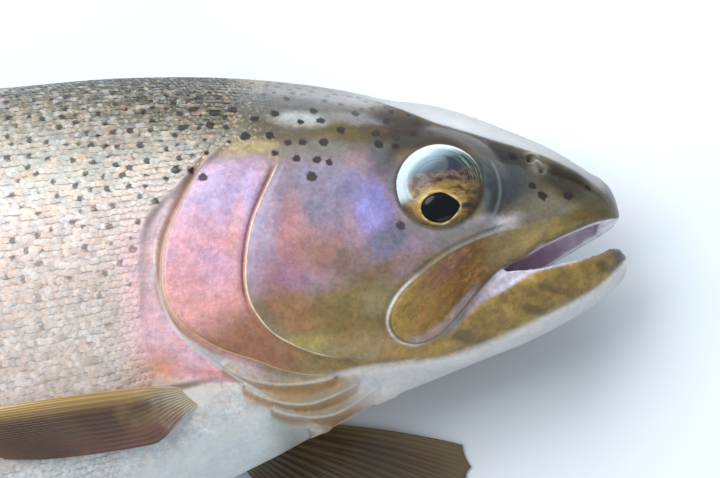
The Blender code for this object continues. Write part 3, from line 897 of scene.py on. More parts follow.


# %% [markdown]
# ## The skin of the head
#
# A trout's head has no scales.  Its colours are soft patches of olive, gold, pink and violet, crossed by
# the sharp pale edges of the bony plates.  Painted shade lies in the grooves beside those edges and round
# the eye, painted highlights run along some crests and an arc before the eye, and the flat top of the head
# is partly a painted reflection.  The patches are a table of named ovals, painted one over the other from
# broad to small, on coordinates that a noise pushes about so that no patch has a clean rim.
# The edges are drawn from the distances kept on the mesh.  A patch here is worked out with Vector Math
# nodes alone: every change between points and vectors makes Cycles keep more values at once, and a
# skin as rich as this one would otherwise run out of room and turn black.

# %% Patches of colour on the head
HEAD_PAINT = (
    # what, middle (a, b), radii, turn, colour, strength, softness
    ("crown", (48, 19), (19, 8), 10, (84, 76, 58), 0.9, 0.4),
    ("nape_grey", (53, 22), (12, 3.4), 6, (92, 94, 92), 0.8, 0.5),
    ("crown_olive", (43, 14.5), (7, 2.4), 12, (88, 74, 22), 0.8, 0.6),
    ("brow", (33, 13.5), (9.5, 3.6), 28, (40, 22, 6), 0.95, 0.5),
    ("forehead", (20, 10.0), (8, 2.4), 22, (12, 9, 2), 0.9, 0.6),
    ("before_eye", (19.5, 3.2), (6.0, 5.2), 0, (50, 58, 64), 0.95, 0.5),
    # painted shade: the arc of skin before the eye, which faces the lamps, is darkened
    ("before_eye_painted_shade", (21.6, 3.4), (2.2, 5.0), -10, (60, 72, 80), 0.7, 0.7),
    ("snout_side", (13.5, -1.6), (5.5, 2.6), -10, (108, 103, 88), 0.9, 0.5),
    ("snout_olive", (8.6, 3.8), (5.4, 3.4), 30, (30, 22, 2), 0.95, 0.5),
    ("snout_tip", (3.4, 0.0), (3.2, 3.4), 40, (64, 60, 44), 0.9, 0.5),
    ("snout_gold", (6.6, -2.7), (4.6, 1.1), -16, (92, 77, 34), 0.9, 0.5),
    ("lip_gold", (14.5, -5.8), (5.4, 1.6), -22, (137, 120, 73), 0.85, 0.5),
    ("before_maxilla", (22.5, -4.0), (4.6, 1.5), -10, (208, 206, 218), 0.7, 0.6),
    ("behind_eye", (38.4, 5.5), (2.8, 6.0), 0, (66, 86, 92), 0.9, 0.5),
    ("under_eye", (30.5, -5.4), (8.0, 1.9), -8, (114, 108, 118), 0.9, 0.5),
    ("under_eye_rose", (26.5, -5.6), (5.0, 1.2), -8, (118, 112, 100), 0.6, 0.6),
    ("cheek", (48, -2.6), (13.8, 13.4), 0, (160, 133, 150), 0.95, 0.35),
    ("cheek_top", (48.5, 4.0), (7.5, 5.2), 0, (134, 130, 152), 0.85, 0.5),
    ("cheek_rose_streak", (53.8, -2.0), (2.0, 6.0), 6, (186, 133, 134), 0.75, 0.6),
    ("cheek_lilac_streak", (58.3, -3.0), (2.0, 8.5), 14, (178, 160, 182), 0.85, 0.5),
    ("cheek_orange", (49.8, -6.6), (4.5, 3.4), 10, (158, 117, 98), 0.75, 0.6),
    ("cheek_purple", (56.0, -9.8), (3.6, 3.4), 0, (157, 114, 130), 0.75, 0.6),
    ("cheek_slate", (44.3, -9.4), (4.2, 3.0), 30, (122, 105, 90), 0.8, 0.6),
    ("cheek_violet", (40.4, 0.2), (3.0, 4.6), 0, (148, 146, 210), 0.9, 0.5),
    ("cheek_blue", (43.2, 4.0), (2.6, 2.6), 0, (130, 124, 164), 0.7, 0.6),
    ("cheek_lilac", (38.6, -5.4), (4.0, 2.6), -30, (104, 107, 128), 0.85, 0.5),
    ("cheek_rust", (40.6, -10.4), (3.8, 1.5), -32, (119, 98, 70), 0.7, 0.6),
    ("cheek_gold", (45.5, -16.2), (10.5, 4.8), -6, (132, 114, 66), 0.95, 0.4),
    ("cheek_pale_gold", (41.0, -14.6), (3.2, 2.2), 0, (140, 136, 106), 0.6, 0.6),
    ("cheek_amber", (55.0, -15.6), (4.8, 3.0), 45, (152, 114, 79), 0.85, 0.5),
    ("cheek_low", (45, -21.2), (11, 2.0), -4, (166, 143, 98), 0.9, 0.5),
    ("crown_pale", (50.5, 17.6), (4.2, 1.6), 10, (186, 192, 190), 0.7, 0.6),
    ("maxilla_foot", (39.2, -22.2), (3.2, 1.1), -20, (124, 106, 68), 0.75, 0.6),
    ("cheek_low_rear", (55.0, -20.4), (4.5, 1.6), -14, (178, 162, 94), 0.7, 0.6),
    ("crown_green", (48.5, 11.2), (5.0, 1.8), 0, (112, 118, 104), 0.7, 0.6),
    ("nostril", (13.1, 6.6), (1.3, 2.2), -38, (120, 118, 104), 0.7, 0.5),
    ("crown_smear", (42.6, 17.4), (5.0, 1.1), 14, (140, 142, 142), 0.6, 0.6),
    ("orange_patch", (38.2, 14.4), (1.8, 0.8), 5, (82, 51, 18), 0.8, 0.6),
    ("breast", (63.0, -31.5), (6.5, 3.0), 8, (146, 154, 150), 0.75, 0.6),
    ("jaw_joint", (36.0, -22.0), (6.5, 1.5), -6, (172, 142, 76), 0.9, 0.5),
)


def head_colour(look, fish, around):
    """The patches, over a ground that pales towards the throat."""
    ground = look.mix(around.rise(0.55, 0.82), (118, 104, 72), (158, 156, 146))
    return look.ovals(ground, fish, HEAD_PAINT)


# %% Jaws and maxilla
JAW_CLOUDS = (
    # what, middle (a, b), radii, turn, colour, strength, softness
    ("rear", (28.0, -20.6), (4.0, 0.9), 14, (88, 76, 56), 0.62, 0.6),
    ("middle", (16.6, -17.4), (3.0, 0.6), 18, (88, 76, 56), 0.62, 0.6),
    ("front", (13.2, -14.6), (2.6, 0.6), 14, (88, 76, 56), 0.62, 0.6),
    ("tip", (4.6, -11.2), (2.2, 0.8), 25, (88, 76, 56), 0.62, 0.6),
)


def jaw_colours(look, colour, fish, measures):
    """Silver-white chin, the olive band above it, and the lilac membrane beside the mouth."""
    a, b, _ = look.split(fish)
    maxilla, fold, keel = measures["maxilla"], measures["fold"], measures["keel"]
    cloudy = look.noise(fish, 0.45, 4.0, 0.6)

    # below the keel the jaw and chin are silver-white, with a blue-grey band under the edge
    chin = look.coats((222, 220, 218), ((keel + 1.6).line(1.4) * 0.5, (182, 186, 192)),
                      ((keel + 0.2).line(0.5) * a.rise(14.0, 22.0) * 0.8, (206, 202, 190)))
    colour = look.mix(keel.rise(0.5, -0.3) * a.rise(60.0, 48.0), colour, chin)

    # the olive band of the lower jaw, with dark clouds along its foot
    olive = look.coats((138, 114, 66), (cloudy.rise(0.38, 0.62), (166, 138, 72)),
                       (cloudy.rise(0.58, 0.74) * 0.6, (184, 160, 100)))
    olive = look.mix(a.rise(4.5, 1.5) * 0.85, look.ovals(olive, fish, JAW_CLOUDS), (70, 74, 78))
    colour = look.mix(fold.rise(0.4, -0.4) * keel.rise(-0.5, 0.5) * a.rise(46.0, 36.0), colour, olive)

    # the membrane between maxilla and jaw is pale lilac, brightest at the lip
    web = fold.rise(-0.3, 0.5) * maxilla.rise(0.1, 0.5)
    web = web * a.rise(31.0, 25.0) * a.rise(6.0, 11.0) * b.rise(-7.0, -8.5)
    return look.mix(web * 0.9, colour, look.mix(a.rise(27.0, 20.0), (168, 154, 166), (228, 226, 244)))


def maxilla_colours(look, colour, fish, measures):
    """Amber streaks on the bone, a pale rim behind, and painted shade in the groove in front."""
    a, b, _ = look.split(fish)
    maxilla, slant = measures["maxilla"], b + a * 0.62
    streaks = look.noise(look.stretch(fish, (2.2, 0.7, 1.0), math.radians(-38)), 1.0, 4.0, 0.65)
    low = maxilla.rise(-1.7, -0.9) * slant.rise(4.0, 2.0) * a.rise(24.0, 28.0)
    amber = look.coats((112, 94, 56), (a.rise(19.0, 26.0), (104, 76, 36)),
                       (a.rise(28.0, 34.0), (146, 114, 62)), (a.rise(34.0, 38.0), (154, 132, 70)),
                       (look.patch(fish, (30.6, -10.6), (4.0, 1.3), -36, 0.7) * 0.75, (114, 82, 76)),
                       (streaks.rise(0.48, 0.70) * 0.5, (168, 120, 66)),
                       (streaks.rise(0.46, 0.30) * 0.5, (92, 72, 46)), (low * 0.75, (170, 150, 150)))
    rim = (maxilla - 0.30).line(0.38) * (0.10 + a.rise(34.0, 37.5) * 0.65) * a.rise(15.0, 20.0)
    # painted shade in the groove in front of the maxilla
    groove = (maxilla - 0.95).line(0.45) * a.rise(37.0, 33.0) * slant.rise(3.4, 4.6) * a.rise(17.0, 22.0)
    border = (maxilla + 0.10).line(0.30) * a.rise(18.0, 24.0)
    return look.coats(colour, (maxilla.rise(0.25, -0.2) * a.rise(19.0, 26.0), amber), (rim, (206, 214, 212)),
                      (groove * 0.6, (72, 66, 62)), (border * 0.6, (86, 70, 50)))


# %% Gill cover, its edges and the shoulder behind it
COVER_PAINT = (
    # what, middle (a, b), radii, turn, colour, strength, softness
    ("top_lilac", (65.5, 5.0), (4.5, 3.4), -30, (196, 180, 212), 0.8, 0.65),
    ("front_lilac", (61.0, 3.4), (2.6, 5.0), 18, (184, 167, 208), 0.8, 0.65),
    ("rear_rose", (69.8, -3.5), (2.6, 5.0), 8, (222, 172, 182), 0.6, 0.65),
    ("middle_rose", (64.0, -5.0), (2.4, 4.0), 10, (200, 150, 164), 0.6, 0.65),
    ("orange_streak", (62.5, -1.0), (1.3, 5.0), 16, (214, 160, 142), 0.5, 0.65),
    ("low_lilac", (66.5, -8.0), (3.0, 3.0), 0, (206, 170, 200), 0.5, 0.65),
)
THROAT_AMBER = (("throat_amber", (58.5, -26.6), (5.0, 1.7), -8, (178, 140, 84), 0.8, 0.7),)
FIN_ROOT_SHADOW_AND_HIGHLIGHT = (
    # a painted highlight on the fold beside the fin's root, and a painted shadow in the gap above it
    ("fold_painted_highlight", (71.6, -26.2), (3.0, 1.4), -8, (226, 222, 214), 0.7, 0.6),
    ("gap_painted_shadow", (73.4, -24.7), (4.4, 0.5), -6, (88, 72, 54), 0.75, 0.7),
)


def cover_colours(look, colour, fish, measures):
    """The rosy plate, then the bare flesh and the pale ribbon of membrane behind it."""
    a, b, _ = look.split(fish)
    cover, membrane, shoulder = measures["cover"], measures["membrane"], measures["shoulder"]
    plate = look.coats((190, 160, 188), (b.rise(7.0, -3.0), (208, 163, 180)),
                       (b.rise(-4.0, -11.0), (216, 161, 160)))
    plate = look.ovals(plate, fish, COVER_PAINT)
    plate = look.coats(plate, ((b + a * 0.45).rise(17.5, 10.5), (154, 110, 88)),
                       (a.rise(60.0, 52.0), (150, 130, 88)))
    on_cover = measures["preopercle"].rise(-0.1, 0.3) * cover.rise(0.1, -0.2) * b.rise(14.0, 8.5)
    gold = look.patch(fish, (60.4, 12.4), (4.6, 1.5), -6, 0.6)
    gold = gold + look.patch(fish, (56.6, 12.4), (2.0, 1.0), 0, 0.6)
    colour = look.coats(colour, (on_cover, plate), (gold * 0.7 * cover.rise(0.2, -0.2), (166, 150, 108)))
    flesh = look.coats((180, 164, 170), (b.rise(6.0, -2.0), (190, 166, 166)),
                       (b.rise(-7.0, -16.0), (216, 176, 186)),
                       (b.rise(6.0, 0.0) * b.rise(-12.0, -6.0) * 0.5, (200, 176, 182)),
                       (b.rise(-18.0, -22.0) * a.rise(71.0, 76.5), (206, 150, 122)),
                       ((shoulder + 1.2).line(1.2) * b.rise(-21.0, -23.0) * 0.4, (200, 116, 100)))
    behind = cover.rise(0.0, 0.4) * shoulder.rise(0.6, -0.2) * b.rise(15.0, 10.0) * a.rise(58.0, 66.0)
    ribbon = cover.rise(0.5, 1.0) * membrane.rise(0.1, -0.2) * b.rise(0.0, -8.0) * a.rise(60.0, 66.0)
    tint = look.mix(b.rise(-10.0, -20.0), (236, 226, 218), (176, 180, 180))
    return look.coats(colour, (behind, flesh), (ribbon * 0.8, tint))


def fan_colours(look, colour, fish, measures):
    """Throat and the folded rays under the gill cover: pale edges with amber between, and painted shade
    beside each fold.
    """
    a, b, _ = look.split(fish)
    keel, front = measures["keel"], a.rise(39.0, 53.0)
    throat = measures["cover"].rise(0.1, 0.8) * keel.rise(0.2, -0.4) * measures["membrane"].rise(0.3, -0.3)
    amber = look.mix(look.noise(fish, 0.5, 3.0).rise(0.4, 0.6), (150, 130, 102), (172, 142, 100))
    colour = look.mix(throat * a.rise(44.0, 50.0) * b.rise(-34.0, -30.0), colour, amber)
    colour = look.ovals(colour, fish, THROAT_AMBER)
    pale, dark, raised = look.split(measures["fan"])
    # dark carries painted shade beside each raised fold
    return look.coats(colour, (raised * front * 0.5, (184, 172, 150)), (dark * front * 0.7, (156, 116, 72)),
                      (pale.rise(0.25, 0.9) * front * 0.85, (216, 208, 190)))


def edge_lines(look, colour, fish, measures):
    """The plates' sharp pale and dark edges, with painted shade and highlights, and a painted shadow above
    the fin's root.
    """
    a, b, _ = look.split(fish)
    cover, ridge, membrane = measures["cover"], measures["preopercle"], measures["membrane"]
    broken = 0.55 + look.noise(fish, 0.5, 3.0).rise(0.35, 0.6) * 0.45
    upper = b.rise(10.0, 7.0)
    # painted shade in the groove behind the preopercle, and a painted highlight on its crest
    groove = (ridge - 0.50).line(0.50) * b.rise(-16.0, -11.0) * upper
    sheen = (ridge + 0.9).line(0.7) * b.rise(-14.0, -2.0) * upper
    crest = (ridge + 0.02).line(0.22) * upper * a.rise(47.0, 52.0) * broken
    colour = look.coats(colour, (groove * 0.9, (118, 66, 46)), (sheen * 0.35, (186, 184, 218)),
                        (crest, (240, 224, 190)))
    # painted shade in the groove behind the gill cover's edge
    shade = (cover - 0.75).line(0.75) * b.rise(14.0, 9.0) * b.rise(-24.0, -18.0)
    rim = (cover - 0.02).line(0.30) * (broken * 0.5 + 0.5) * a.rise(50.0, 54.0) * b.rise(16.0, 10.0)
    golden = look.mix(b.rise(-12.0, -18.0), (236, 210, 166), (244, 196, 140))
    # a painted highlight along the edge of the membrane
    membrane_highlight = (membrane + 0.1).line(0.40) * a.rise(56.0, 62.0) * b.rise(-5.0, -12.0)
    dark_rim = (measures["shoulder"] + 0.3).line(0.8) * b.rise(-6.0, 3.0) * a.rise(60.0, 64.0)
    colour = look.coats(colour, (shade * 0.7, (168, 118, 92)), (rim, golden), (membrane_highlight * 0.7, (204, 212, 208)),
                        (dark_rim * 0.6, (126, 112, 104)))
    return look.ovals(colour, fish, FIN_ROOT_SHADOW_AND_HIGHLIGHT)


def socket_and_mouth(look, colour, fish, measures):
    """Painted shade and a painted highlight round the eye, and the mouth's purple-mauve lining, painted pale
    as light.
    """
    a, b, _ = look.split(fish)
    orbit = measures["orbit"]
    patchy = look.noise(fish, 0.6, 3.0).rise(0.35, 0.65)
    # painted shade over the front and top of the socket, and a painted highlight on a thin arc before the eye
    shade = (orbit - 9.4).line(2.2) * (b - a * 0.8).rise(-26.0, -18.0)
    glint = (orbit - 9.8).line(0.5) * a.rise(24.0, 21.5) * b.rise(8.0, 6.0)
    colour = look.coats(colour, ((orbit - 8.0).line(1.2) * patchy * 0.5 * b.rise(9.0, 4.0), (104, 118, 112)),
                        (shade * 0.6, (48, 48, 42)), (glint * 0.5, (126, 136, 140)),
                        (orbit.rise(7.7, 7.0) * 0.85, (66, 64, 54)))
    # painted light: the lining is painted pale, and palest towards the front, where the hollow gets little
    # light
    lining = look.coats((228, 206, 222), (a.rise(16.0, 6.0), (250, 246, 255)),
                        (look.noise(fish, 0.5, 3.0).rise(0.4, 0.6) * 0.4, (196, 164, 186)))
    return look.mix(measures["depth"].rise(0.7, 1.6), colour, lining)


# %% Mottling and grain
def mottle(look, colour, fish, strength):
    """Breaks a colour up into the darker, warmer and cooler grains of living skin."""
    crossed = look.stretch(fish, (0.6, 1.3, 1.0), math.radians(38))
    fine, broad = look.noise(fish, 1.3, 6.0, 0.75), look.noise(fish, 0.42, 4.0, 0.6)
    streaks = look.noise(crossed, 0.55, 5.0, 0.7)
    for grains, low, high, dark, light in ((fine, 0.32, 0.68, (0.60, 0.58, 0.56), (1.34, 1.36, 1.38)),
                                           (broad, 0.36, 0.64, (0.72, 0.72, 0.74), (1.24, 1.24, 1.22)),
                                           (streaks, 0.36, 0.64, (1.16, 0.95, 0.86), (0.88, 0.99, 1.13))):
        colour = look.mix(strength, colour, look.mix(grains.rise(low, high), dark, light), "MULTIPLY")
    return colour


def add_grains(look, colour, fish, dark, pale):
    """The dark and pale grains between and on the scales of the back, each with its own strength."""
    grains = look.noise(fish, 1.5, 3.0, 0.7)
    colour = look.mix(grains.rise(0.46, 0.34) * dark, colour, (0.62, 0.64, 0.66), "MULTIPLY")
    return look.mix(grains.rise(0.52, 0.66) * pale, colour, (238, 224, 196))


trout_look = Look("trout_skin", Coat_Roughness=0.12, Coat_IOR=1.36, IOR=1.36)
fish = trout_look.attribute("fish", "Vector")
measures = {name: trout_look.attribute(name) for name in ("spot", "corner", "keel")}
measures["fan"] = trout_look.attribute("fan", "Vector")
for layer, names in MEASURES.items():
    measures.update(zip(names, trout_look.split(trout_look.attribute(layer, "Vector"))))
around, cover, corner = measures["around"], measures["cover"], measures["corner"]
a, b, _ = trout_look.split(fish)
front = a.rise(63.0, 57.0)
on_head = front.maths("MAXIMUM", front, measures["shoulder"].rise(0.4, -0.4) * b.rise(15.0, 13.0))
head = head_colour(trout_look, trout_look.warp(fish, 0.35, 2.4), around)
colour = trout_look.mix(on_head, body_colour(trout_look, fish, around), head)
colour = shoulder_blush(trout_look, colour, measures["shoulder"], b)
for layer in (cover_colours, jaw_colours, maxilla_colours, fan_colours):
    colour = layer(trout_look, colour, fish, measures)
smooth = measures["keel"].rise(0.8, -0.8) * 0.24
colour = mottle(trout_look, colour, fish, 0.42 - smooth)
colour = edge_lines(trout_look, colour, fish, measures)
dark_corner = (corner + 0.1).line(0.45) * a.rise(42.0, 36.0) * a.rise(5.0, 10.0)
colour = trout_look.mix(dark_corner * 0.8, colour, (44, 38, 28))
scaly = a.rise(50.0, 62.0) * b.rise(9.0, 14.0)
colour = add_grains(trout_look, colour, fish, scaly * 0.55, scaly * 0.35)
ridge = around.rise(0.16, 0.06) * a.rise(34.0, 40.0) * a.rise(56.0, 48.0)
colour = trout_look.mix(ridge * 0.8, colour, (66, 66, 58))
colour = socket_and_mouth(trout_look, colour, fish, measures)
# the flat top of the head is painted cool blue-grey, partly its own dark top and partly a painted reflection,
# with its spots left out
crown = corner.rise(0.0, 0.6) * a.rise(46.0, 38.0)
colour = trout_look.mix(crown * 0.6, colour, (78, 88, 94))
colour = add_spots(trout_look, colour, fish, measures["spot"], around, 1.0 - crown)
grain = trout_look.noise(fish, 2.6, 5.0, 0.65)
matt = (measures["orbit"] - 9.6).line(3.4) * (1.0 - crown)
metallic = 0.05 + cover.rise(0.2, -0.2) * measures["preopercle"].rise(-0.2, 0.2) * 0.15
skin.data.materials.append(trout_look.finish(
    colour, 0.36 + grain * 0.16 + matt * 0.25, metallic, (0.25 + crown * 0.35) * (1.0 - matt * 0.9),
    trout_look.bump(grain, 0.30, 0.0003)))
print("skin nodes:", len(trout_look.tree.nodes))

# %% [markdown]
# ## Scales
#
# Trout scales are tiny round plates in staggered rows, each rooted in the skin at its front and free at
# its rear edge, like tiles.  One plate is modelled with a few faces and copied to every root; the rows
# are spaced evenly round the girth, and the columns open up along the trunk and close again towards
# the tail.  Particles or instances would be lost on export, so the copies are written into joined meshes.

# %% One scale
SCALE_SIDES = 8
SCALE_THICK = 0.04
SCALE_LONG, SCALE_WIDE = 1.62, 1.22 # length and width, in distances between neighbouring roots
SCALE_SINK, SCALE_TILT, SCALE_DOME = -0.08, 0.12, 0.05      # the root lies under the skin, the tip above it


def scale_template():
    """A round plate about 1 unit long from its root, as points and faces, its top 1 unit higher."""
    bm = bmesh.new()
    bmesh.ops.create_circle(bm, cap_ends=True, cap_tris=True, segments=SCALE_SIDES, radius=1.0)
    for vert in bm.verts:
        x, y = vert.co.x, vert.co.y
        rim = min(x * x + y * y, 1.0)
        vert.co = (0.5 + 0.5 * x, 0.5 * y * (1 - 0.18 * (0.5 - 0.5 * x)), 0.5 * (1 - rim))
    grown = bmesh.ops.extrude_face_region(bm, geom=list(bm.faces))["geom"]
    upper = [item for item in grown if isinstance(item, bmesh.types.BMVert)]
    bmesh.ops.translate(bm, vec=(0, 0, 1), verts=upper)
    bmesh.ops.recalc_face_normals(bm, faces=bm.faces)
    bm.verts.index_update()
    points = np.array([vert.co[:] for vert in bm.verts])
    faces = [[vert.index for vert in face.verts] for face in bm.faces]
    bm.free()
    return points, faces


PLATE, PLATE_FACES = scale_template()
print(len(PLATE), "points and", sum(len(face) - 2 for face in PLATE_FACES), "triangles in one scale")

# %% Where the scales root
ROWS = 84                           # rows of scales from the back to the belly, on each side
SCALE_SEED = 21
JITTER_ALONG, JITTER_ACROSS, JITTER_TURN = 0.11, 0.08, 0.08
BAKE_PATCH = 0.003                  # size of one scale on its map


def even_turns(count):
    """Angles from the back, equally far apart along the girth of a typical section."""
    angles = np.linspace(0, math.pi, 400)
    steps = np.hypot(np.diff(40.5 * np.cos(angles)), np.diff(21.2 * np.sin(angles)))
    along = np.concatenate([[0], np.cumsum(steps)])
    return np.interp((np.arange(count) + 0.5) / count * along[-1], along, angles)


def spacing(a):
    """Distance between the roots of neighbouring scales in one row."""
    return 0.78 + 0.82 * ramp(a, 66, 150) - 0.65 * ramp(a, 225, 325)


FIRST_ROOT, LAST_ROOT = 52.0, 325.5
columns = [FIRST_ROOT]
while columns[-1] < LAST_ROOT + 0.5:
    columns.append(columns[-1] + float(spacing(columns[-1])))
columns = np.array(columns)
roots = []
for row, angle in enumerate(even_turns(ROWS)):
    shift = 0.5 * (row % 2) * spacing(columns)
    same = np.ones(len(columns))
    roots.append(np.column_stack([columns + shift, angle * same, row * same]))
roots = np.concatenate(roots)
roots = roots[roots[:, 0] < LAST_ROOT]
root_places = body_points(roots[:, 0], roots[:, 1])
root_far = measure(root_places)
a, b = root_places[:, 0], root_places[:, 1]
edge = np.minimum(root_far["shoulder"] - 0.3, FAR_OFF)
edge = np.where(b > 13.2, a - 60.5 + 3.5 * ramp(b, 14, 30), edge)
edge = np.where(b < -22.0, a - 77.0 + 0.5 * (b + 22.0), edge)
kept = edge > 0
roots, root_places, edge = roots[kept], root_places[kept], edge[kept]
root_far = {name: value[kept] for name, value in root_far.items()}
print(2 * len(roots), "scales in", len(columns), "columns")

# %% Copy the scale to every root
def scale_piece(name, chosen, side):
    """One joined mesh of scales on one side of the fish."""
    rng = np.random.default_rng(SCALE_SEED + (side > 0) + 2 * len(name))
    a, angle, row = roots[chosen].T
    a = a + rng.normal(0, JITTER_ALONG, len(a)) * spacing(a)
    angle = angle + rng.normal(0, JITTER_ACROSS, len(a)) * math.pi / ROWS
    here = body_points(a, angle)
    ahead = body_points(a + 0.5, angle) - body_points(a - 0.5, angle)
    beside = body_points(a, angle + 0.01) - body_points(a, angle - 0.01)
    turns = even_turns(ROWS)
    pitch = np.linalg.norm(beside, axis=1) / 0.02 * np.interp(angle, turns, np.gradient(turns))
    ahead /= np.linalg.norm(ahead, axis=1)[:, None]
    beside /= np.linalg.norm(beside, axis=1)[:, None]
    up = np.cross(beside, ahead)
    up *= np.sign(np.sum(up * np.column_stack([a * 0, np.cos(angle), np.sin(angle)]), axis=1))[:, None]
    count = len(a)
    size = (0.62 + 0.38 * ramp(edge[chosen], 0, 8)) * rng.uniform(0.90, 1.08, count)
    long, wide = spacing(a) * SCALE_LONG * size, pitch * SCALE_WIDE * size
    lift = relief(here, {key: value[chosen] for key, value in root_far.items()})
    x, y, z = PLATE.T
    top = z >= 0.99
    dome = z - top
    turn = rng.normal(0, JITTER_TURN, count)
    px = long[:, None] * (x[None] - 0.12)
    py = wide[:, None] * y[None] + px * turn[:, None]
    pz = SCALE_SINK + SCALE_TILT * x[None] + SCALE_DOME * dome[None] - SCALE_THICK * ~top[None]
    pz = pz * (0.40 + 0.60 * ramp(edge[chosen], 0, 7))[:, None] + lift[:, None]
    points = (here[:, None] + px[..., None] * ahead[:, None] + py[..., None] * beside[:, None]
              + pz[..., None] * up[:, None]).reshape(-1, 3)
    points[:, 2] *= side
    offsets = np.arange(count) * len(PLATE)
    faces = [[corner + shift for corner in face] for shift in offsets.tolist() for face in PLATE_FACES]
    mesh = bpy.data.meshes.new(name)
    mesh.from_pydata(lay(points), [], faces)
    face_out(mesh)
    root_points = np.repeat(here, len(PLATE), axis=0) * (1, 1, side)
    store(mesh, "fish", points)
    store(mesh, "spot", spot_distance(root_points * 0.35 + points * 0.65))
    shoulder_rim = np.where(here[:, 1] < 13.2, edge[chosen], 9.0)
    store(mesh, "rim", np.repeat(shoulder_rim, len(PLATE)))
    tone = np.repeat(rng.random(count), len(PLATE))
    store(mesh, "scale", np.column_stack([np.tile(x, count), np.tile(y * 2, count), tone]))
    store(mesh, "around", np.repeat(root_far["around"][chosen], len(PLATE)))
    patch = mesh.uv_layers.new(name="OFBake")
    u = 0.05 + 0.9 * np.repeat((a - 50) / 280, len(PLATE)) + BAKE_PATCH * (np.tile(x, count) - 0.5)
    v = 0.5 + side * (0.01 + 0.47 * np.repeat((row + 0.5) / ROWS, len(PLATE)))
    v = v + BAKE_PATCH * np.tile(y, count)
    corners = np.empty(len(mesh.loops), dtype=int)
    mesh.loops.foreach_get("vertex_index", corners)
    patch.data.foreach_set("uv", flat(np.column_stack([u, v])[corners]))
    mesh.update()
    return link(name, mesh)


STRETCHES = (("front", 0, 115), ("middle", 115, 180), ("rear", 180, 248), ("tail", 248, 400))
scales = []
for side, label in ((1, "right"), (-1, "left")):
    for part, low, high in STRETCHES:
        chosen = np.flatnonzero((roots[:, 0] >= low) & (roots[:, 0] < high))
        piece = scale_piece(f"scales_{part}_{label}", chosen, side)
        scales.append(piece)
        print(piece.name, len(chosen), "scales,", triangles(piece.data), "triangles")

# %% [markdown]
# ## The finish of the scales
#
# A scale is clear horn over silver, so it takes the colour of the skin beneath, brighter at its middle
# and painted darker, as shade, where it dips under the one in front.  The tone drifts a little from
# scale to scale.

# %% Scale material
scale_look = Look("trout_scale", Coat_Roughness=0.22, IOR=1.40)
fish = scale_look.attribute("fish", "Vector")
along, across, tone = scale_look.split(scale_look.attribute("scale", "Vector"))
around = scale_look.attribute("around")
colour = body_colour(scale_look, fish, around)
a, b, _ = scale_look.split(fish)
head = head_colour(scale_look, scale_look.warp(fish, 0.35, 2.4), around)
colour = scale_look.mix(a.rise(66.0, 58.0) * b.rise(12.0, 16.0), colour, head)
colour = add_grains(scale_look, colour, fish, 0.55, around.rise(0.04, 0.30) * 0.42)
warm = scale_look.noise(fish, 0.55, 3.0, 0.6)
flank = around.rise(0.70, 0.50) * around.rise(0.06, 0.30)
# painted shade on the root of each scale, where it dips under the one in front
colour = scale_look.coats(colour, (along.rise(0.62, 0.35) * 0.10, (132, 126, 118)),
                          (warm.rise(0.48, 0.66) * flank * 0.35, (222, 186, 158)),
                          (warm.rise(0.46, 0.30) * 0.30, (188, 198, 210)),
                          (tone.rise(0.55, 1.0) * a.rise(60.0, 76.0) * 0.22, (244, 240, 234)))
colour = scale_look.mix(tone.rise(0.40, 0.0) * 0.30, colour, (0.55, 0.56, 0.55), "MULTIPLY")
colour = shoulder_blush(scale_look, colour, scale_look.attribute("rim"), b)
colour = mottle(scale_look, colour, fish, 0.34)
colour = add_spots(scale_look, colour, fish, scale_look.attribute("spot"), around, 0.90)
bump = scale_look.bump(scale_look.noise(fish, 3.0, 3.0), 0.2, 0.0002)
metal = 0.06 + around.rise(0.2, 0.4) * around.rise(0.8, 0.65) * 0.20
for piece in scales:
    piece.data.shade_smooth()
    piece.data.set_sharp_from_angle(angle=math.radians(50))
    piece.data.materials.append(scale_look.material)
    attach(piece, "root")
nape = a.rise(110.0, 70.0) * around.rise(0.42, 0.26)
scale_look.finish(colour, 0.36 + tone * 0.14 + nape * 0.12, metal, 0.55 - nape * 0.40, bump)
print("scale nodes:", len(scale_look.tree.nodes))

# %% [markdown]
# ## Eyes
#
# A trout's eye is a globe flattened from side to side.  The pupil is egg-shaped, with its point towards
# the snout, inside a thin bright ring; the iris is brown and gold; and above it the globe turns from
# slate blue, paling upwards as a painted reflection of the sky, to a pale silver crescent under the rim
# that is partly painted reflection too.  The globe is a sphere with a slightly raised lens, and each ring
# is drawn from angles measured off the line of sight, stored on the mesh.

# %% The globes
GAZE_DOWN = math.radians(29)        # the line of sight, turned from straight out towards the belly
EGG, EGG_TAPER, EGG_POINT = (0.36, 0.305), 0.36, 0.45   # half sizes of the pupil, and how its point narrows


